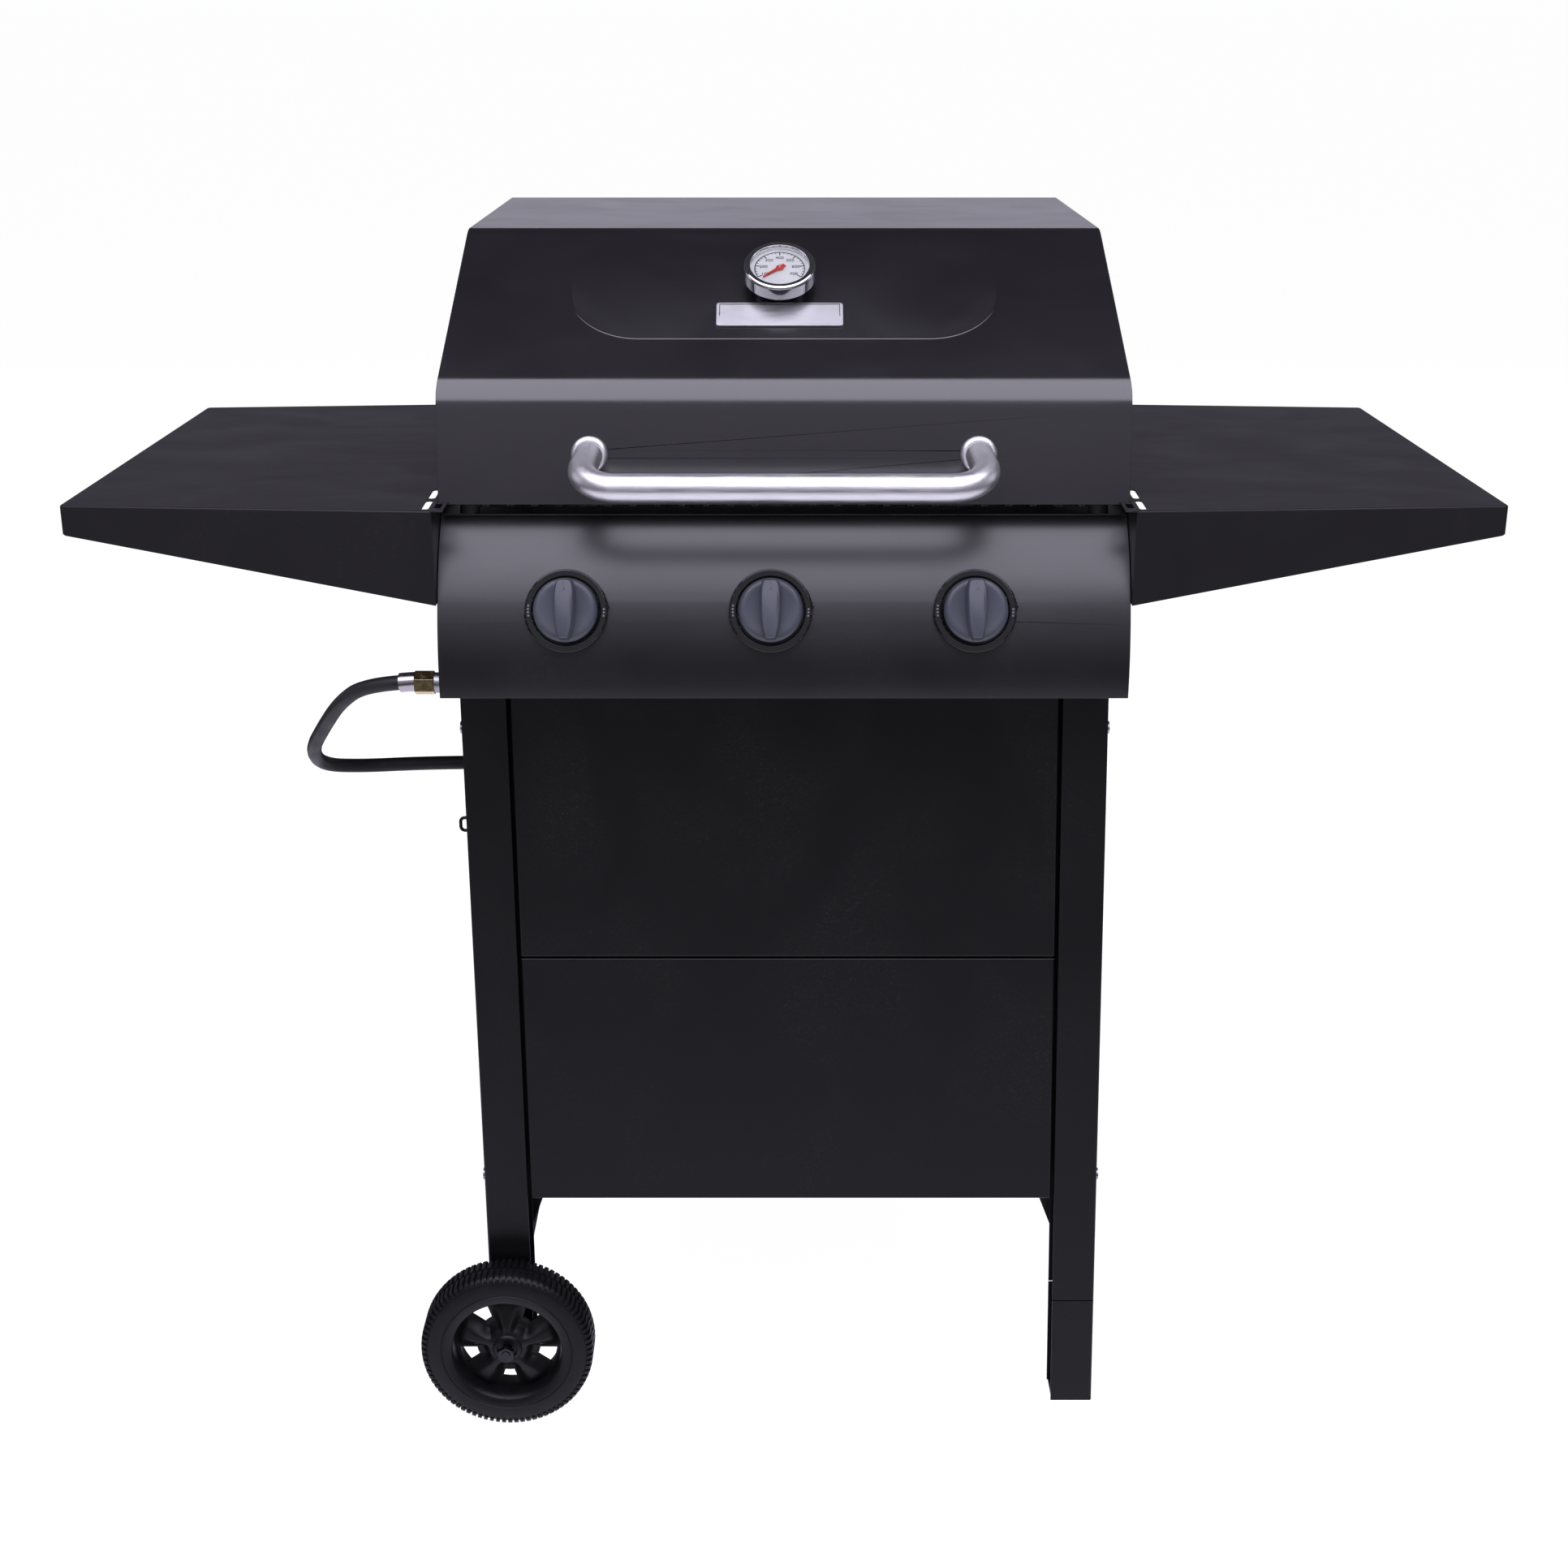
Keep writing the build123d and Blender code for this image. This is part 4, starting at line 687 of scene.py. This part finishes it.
# ---- Wheels -------------------------------------------------------------------------------
# Outlines are (radius, height) in millimetres; the heights run out of the wheel's outer face.
TYRE = [
    (52.5, -17), (54, -19.4), (79, -19.8), (83, -18.5), (85.6, -15), (85.6, 15), (83, 18.5), (79, 19.8),
    (67.6, 19.8), (67.1, 19.1), (65.9, 19.1), (65.4, 19.8), (58, 19.6), (56.2, 18.4), (54.6, 12), (53.4, 2),
]
HUB = [
    (5, -19.8), (15, -19.8), (16.4, -18), (16.4, 9), (14.6, 13.6), (12.4, 15.0), (10.6, 15.0), (10.0, 12.4),
    (5, 12.4),
]
LUG = [(84.5, 0.6), (87.9, 1.2), (87.9, 13.6), (86.9, 17.4), (84.0, 19.6), (81.8, 19.7), (81.5, 17.0)]
LUG_COUNT = 84
LUG_HALF_WIDTH = 1.9
SPOKE_COUNT = 5
WINDOW_LOW, WINDOW_HIGH = 33.0, 50.0
WINDOW_SHARE = 0.45          # of the way from a window's middle to the middle of a spoke
DISC_RADII = [12, 16, 20, 23, 26, 29.5, WINDOW_LOW, 36, 39, 42, 45, 48, WINDOW_HIGH, 52, 54.2]
DISC_STEPS = 20
DISC_DOWN = Vector((0, 0, -3 * MM))


def window_half_angle(radius):
    """Half the angle that a window takes up at a radius."""
    share = min(max((radius - WINDOW_LOW) / (WINDOW_HIGH - WINDOW_LOW), 0.0), 1.0)
    return math.asin((4.6 + 5.2 * share) / radius)


def disc_point(radius, across, sector):
    """A point of the wheel's disc. Across runs from -1 to 1 between the middles of two spokes."""
    edge = window_half_angle(radius)
    share = abs(across)
    past_window = (share - WINDOW_SHARE) / (1.0 - WINDOW_SHARE)
    turn = share / WINDOW_SHARE * edge
    if past_window > 0:
        turn = edge + past_window * (math.pi / SPOKE_COUNT - edge)
    angle = sector + math.copysign(turn, across)
    over_spoke = smooth(past_window * 1.25)
    spoke_top = 12.5 - 5.0 * smooth((radius - 20) / 34)
    spoke_top += (3.0 - spoke_top) * smooth((radius - 46) / 8)
    height = 1.0 + (spoke_top - 1.0) * over_spoke
    height += (12.5 - height) * smooth((26 - radius) / 8)
    return Vector((*polar(radius, angle), height)) * MM


def add_disc(built, spin):
    """The spoked disc, open in its windows, as a thin shell."""
    for k in range(SPOKE_COUNT):
        sector = spin + math.tau * (k + 0.5) / SPOKE_COUNT
        for low, high in zip(DISC_RADII, DISC_RADII[1:]):
            for i in range(-DISC_STEPS, DISC_STEPS):
                add_disc_patch(built, low, high, i / DISC_STEPS, (i + 1) / DISC_STEPS, sector)


def add_disc_patch(built, low, high, left, right, sector):
    """One patch of the disc, unless a window is there, with the window's walls that border on it."""
    in_band = low >= WINDOW_LOW and high <= WINDOW_HIGH
    in_line = abs(left + right) / 2 < WINDOW_SHARE
    if in_band and in_line:
        return
    corners = [(low, left), (high, left), (high, right), (low, right)]
    top = [disc_point(radius, across, sector) for radius, across in corners]
    built.faces.new([built.verts.new(point) for point in top])
    built.faces.new([built.verts.new(point + DISC_DOWN) for point in reversed(top)])
    if in_band and abs(left - WINDOW_SHARE) < 0.01:
        add_window_wall(built, top[0], top[1])
    if in_band and abs(right + WINDOW_SHARE) < 0.01:
        add_window_wall(built, top[3], top[2])
    if in_line and high == WINDOW_LOW:
        add_window_wall(built, top[1], top[2])
    if in_line and low == WINDOW_HIGH:
        add_window_wall(built, top[0], top[3])


def add_window_wall(built, first, second):
    """Closes the shell along one edge of a window."""
    corners = (first, second, second + DISC_DOWN, first + DISC_DOWN)
    built.faces.new([built.verts.new(point) for point in corners])


def add_lugs(built):
    """Two staggered rows of tread lugs that wrap over the shoulders."""
    for face, shift in ((1, 0.0), (-1, 0.5)):
        for i in range(LUG_COUNT):
            angle = math.tau * (i + shift) / LUG_COUNT
            c, s = math.cos(angle), math.sin(angle)
            sides = []
            for side in (-LUG_HALF_WIDTH, LUG_HALF_WIDTH):
                corners = [(r * c - side * s, r * s + side * c, face * z) for r, z in LUG]
                sides.append([built.verts.new(Vector(corner) * MM) for corner in corners])
            built.faces.new(sides[0])
            built.faces.new(list(reversed(sides[1])))
            for j in range(len(LUG)):
                k = (j + 1) % len(LUG)
                built.faces.new((sides[0][j], sides[0][k], sides[1][k], sides[1][j]))


def add_ribs(built, spin):
    """Stiffening ribs behind the spokes."""
    for k in range(SPOKE_COUNT):
        slab(built, bar(15.5, 54, 1.5, spin + math.tau * k / SPOKE_COUNT), -12.0, 1.0)


def make_wheel(name, outward, spin):
    """A moulded wheel with its outer face to one side, turned by spin about its axle."""
    low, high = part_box(name)
    built = bmesh.new()
    turned(built, TYRE, 168, closed=True)
    turned(built, HUB, 48, closed=True)
    add_lugs(built)
    add_disc(built, spin)
    add_ribs(built, spin)
    bmesh.ops.remove_doubles(built, verts=built.verts, dist=WELD_REACH)
    mesh = finish_mesh(built, name + "_moulded", axes_at((low + high) / 2, (0, outward, 0)), 52.0)
    wheel = add_piece(name + "_moulded", mesh, "wheel_plastic", name)
    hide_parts(name)


# ---- Stage --------------------------------------------------------------------------------
FLOOR_REACH = 160.0
WHITE = (1.0, 1.0, 1.0, 1.0)
COOL_WHITE = (0.97, 0.94, 1.12)
# Brightness of the surroundings against the sine of the elevation.
SURROUNDINGS = [
    (-1.0, 1.0), (-0.54, 1.0), (-0.47, 0.55), (-0.4, 0.12), (-0.29, 0.05), (-0.08, 0.08),
    (0.03, 0.2), (0.14, 0.2), (0.24, 0.1), (0.5, 0.05), (1.0, 0.045),
]


def make_floor():
    """A plain pale floor, wide enough to hide the horizon from the camera."""
    built = bmesh.new()
    signs = ((-1, -1), (1, -1), (1, 1), (-1, 1))
    built.faces.new([built.verts.new((x * FLOOR_REACH, y * FLOOR_REACH, 0.0)) for x, y in signs])
    mesh = bpy.data.meshes.new("floor")
    built.to_mesh(mesh)
    built.free()
    floor = put_in_scene("floor", mesh)
    finish = Finish("floor_pale", (0.36, 0.36, 0.36), 0.75, specular=0.1)
    finish.roughness(finish.noise(3.0), 0.7, 0.8)
    finish.set("Emission Color", WHITE)
    finish.set("Emission Strength", 0.96)
    mesh.materials.append(finish.material)
    floor.visible_glossy = False


def area_light(name, location, target, size, radiance):
    """A soft box of a given brightness, facing a point."""
    data = bpy.data.lights.new(name, "AREA")
    data.shape = "RECTANGLE"
    data.size, data.size_y = size
    data.energy = math.pi * size[0] * size[1] * radiance
    data.color = COOL_WHITE
    light = put_in_scene(name, data)
    light.location = location
    light.visible_camera = False
    light.rotation_euler = (Vector(target) - Vector(location)).to_track_quat("-Z", "Y").to_euler()


def make_lights():
    """A softbox overhead, a dim panel in front, a strip at the back and a fill on each side."""
    area_light("softbox_overhead", (0.0, -1.75, 3.3), (0.0, -1.75, 0.0), (5.2, 3.6), 3.0)
    area_light("front_panel", (0.0, -5.0, 2.9), (0.0, 0.0, 0.9), (6.0, 2.4), 0.4)
    area_light("back_strip", (0.0, 6.0, 1.72), (0.0, 0.0, 1.2), (9.0, 1.1), 0.4)
    for name, x in (("fill_left", -4.2), ("fill_right", 4.2)):
        area_light(name, (x, 0.6, 1.6), (0.0, 0.0, 0.7), (1.6, 2.2), 0.8)


def make_surroundings():
    """Surroundings graded by elevation, which the camera itself sees as plain white."""
    world = bpy.data.worlds.new("studio")
    bpy.context.scene.world = world
    world.use_nodes = True
    tree = world.node_tree
    place = tree.nodes.new("ShaderNodeTexCoord")
    split = tree.nodes.new("ShaderNodeSeparateXYZ")
    shift = tree.nodes.new("ShaderNodeMapRange")
    shift.inputs["From Min"].default_value = -1.0
    ramp = tree.nodes.new("ShaderNodeValToRGB")
    stops = ramp.color_ramp.elements
    for height, brightness in SURROUNDINGS:
        place_on_ramp = (height + 1) / 2
        at_end = {0.0: 0, 1.0: -1}.get(place_on_ramp)
        stop = stops.new(place_on_ramp) if at_end is None else stops[at_end]
        stop.color = (*[brightness * c for c in COOL_WHITE], 1.0)
    tree.links.new(place.outputs["Generated"], split.inputs["Vector"])
    tree.links.new(split.outputs["Z"], shift.inputs["Value"])
    tree.links.new(shift.outputs["Result"], ramp.inputs["Fac"])
    seen = tree.nodes.new("ShaderNodeLightPath")
    backdrop = tree.nodes.new("ShaderNodeMix")
    backdrop.data_type = "RGBA"
    backdrop.inputs["B"].default_value = WHITE
    tree.links.new(seen.outputs["Is Camera Ray"], backdrop.inputs["Factor"])
    tree.links.new(ramp.outputs["Color"], backdrop.inputs["A"])
    tree.links.new(backdrop.outputs["Result"], tree.nodes["Background"].inputs["Color"])


make_camera()
make_hose()
dress_nodes()
for knob_name in KNOB_NAMES:
    make_knob(knob_name)
    make_knob_pointer(knob_name)
    make_bezel_marks(knob_name)
make_dial_scale()
make_dial_numbers()
make_recess_lip()
make_badge_border()
make_wheel("wheel_front", -1, math.pi / 2)
make_wheel("wheel_rear", 1, -math.pi / 2)
make_floor()
make_lights()
make_surroundings()
bpy.context.scene.view_settings.view_transform = "Standard"
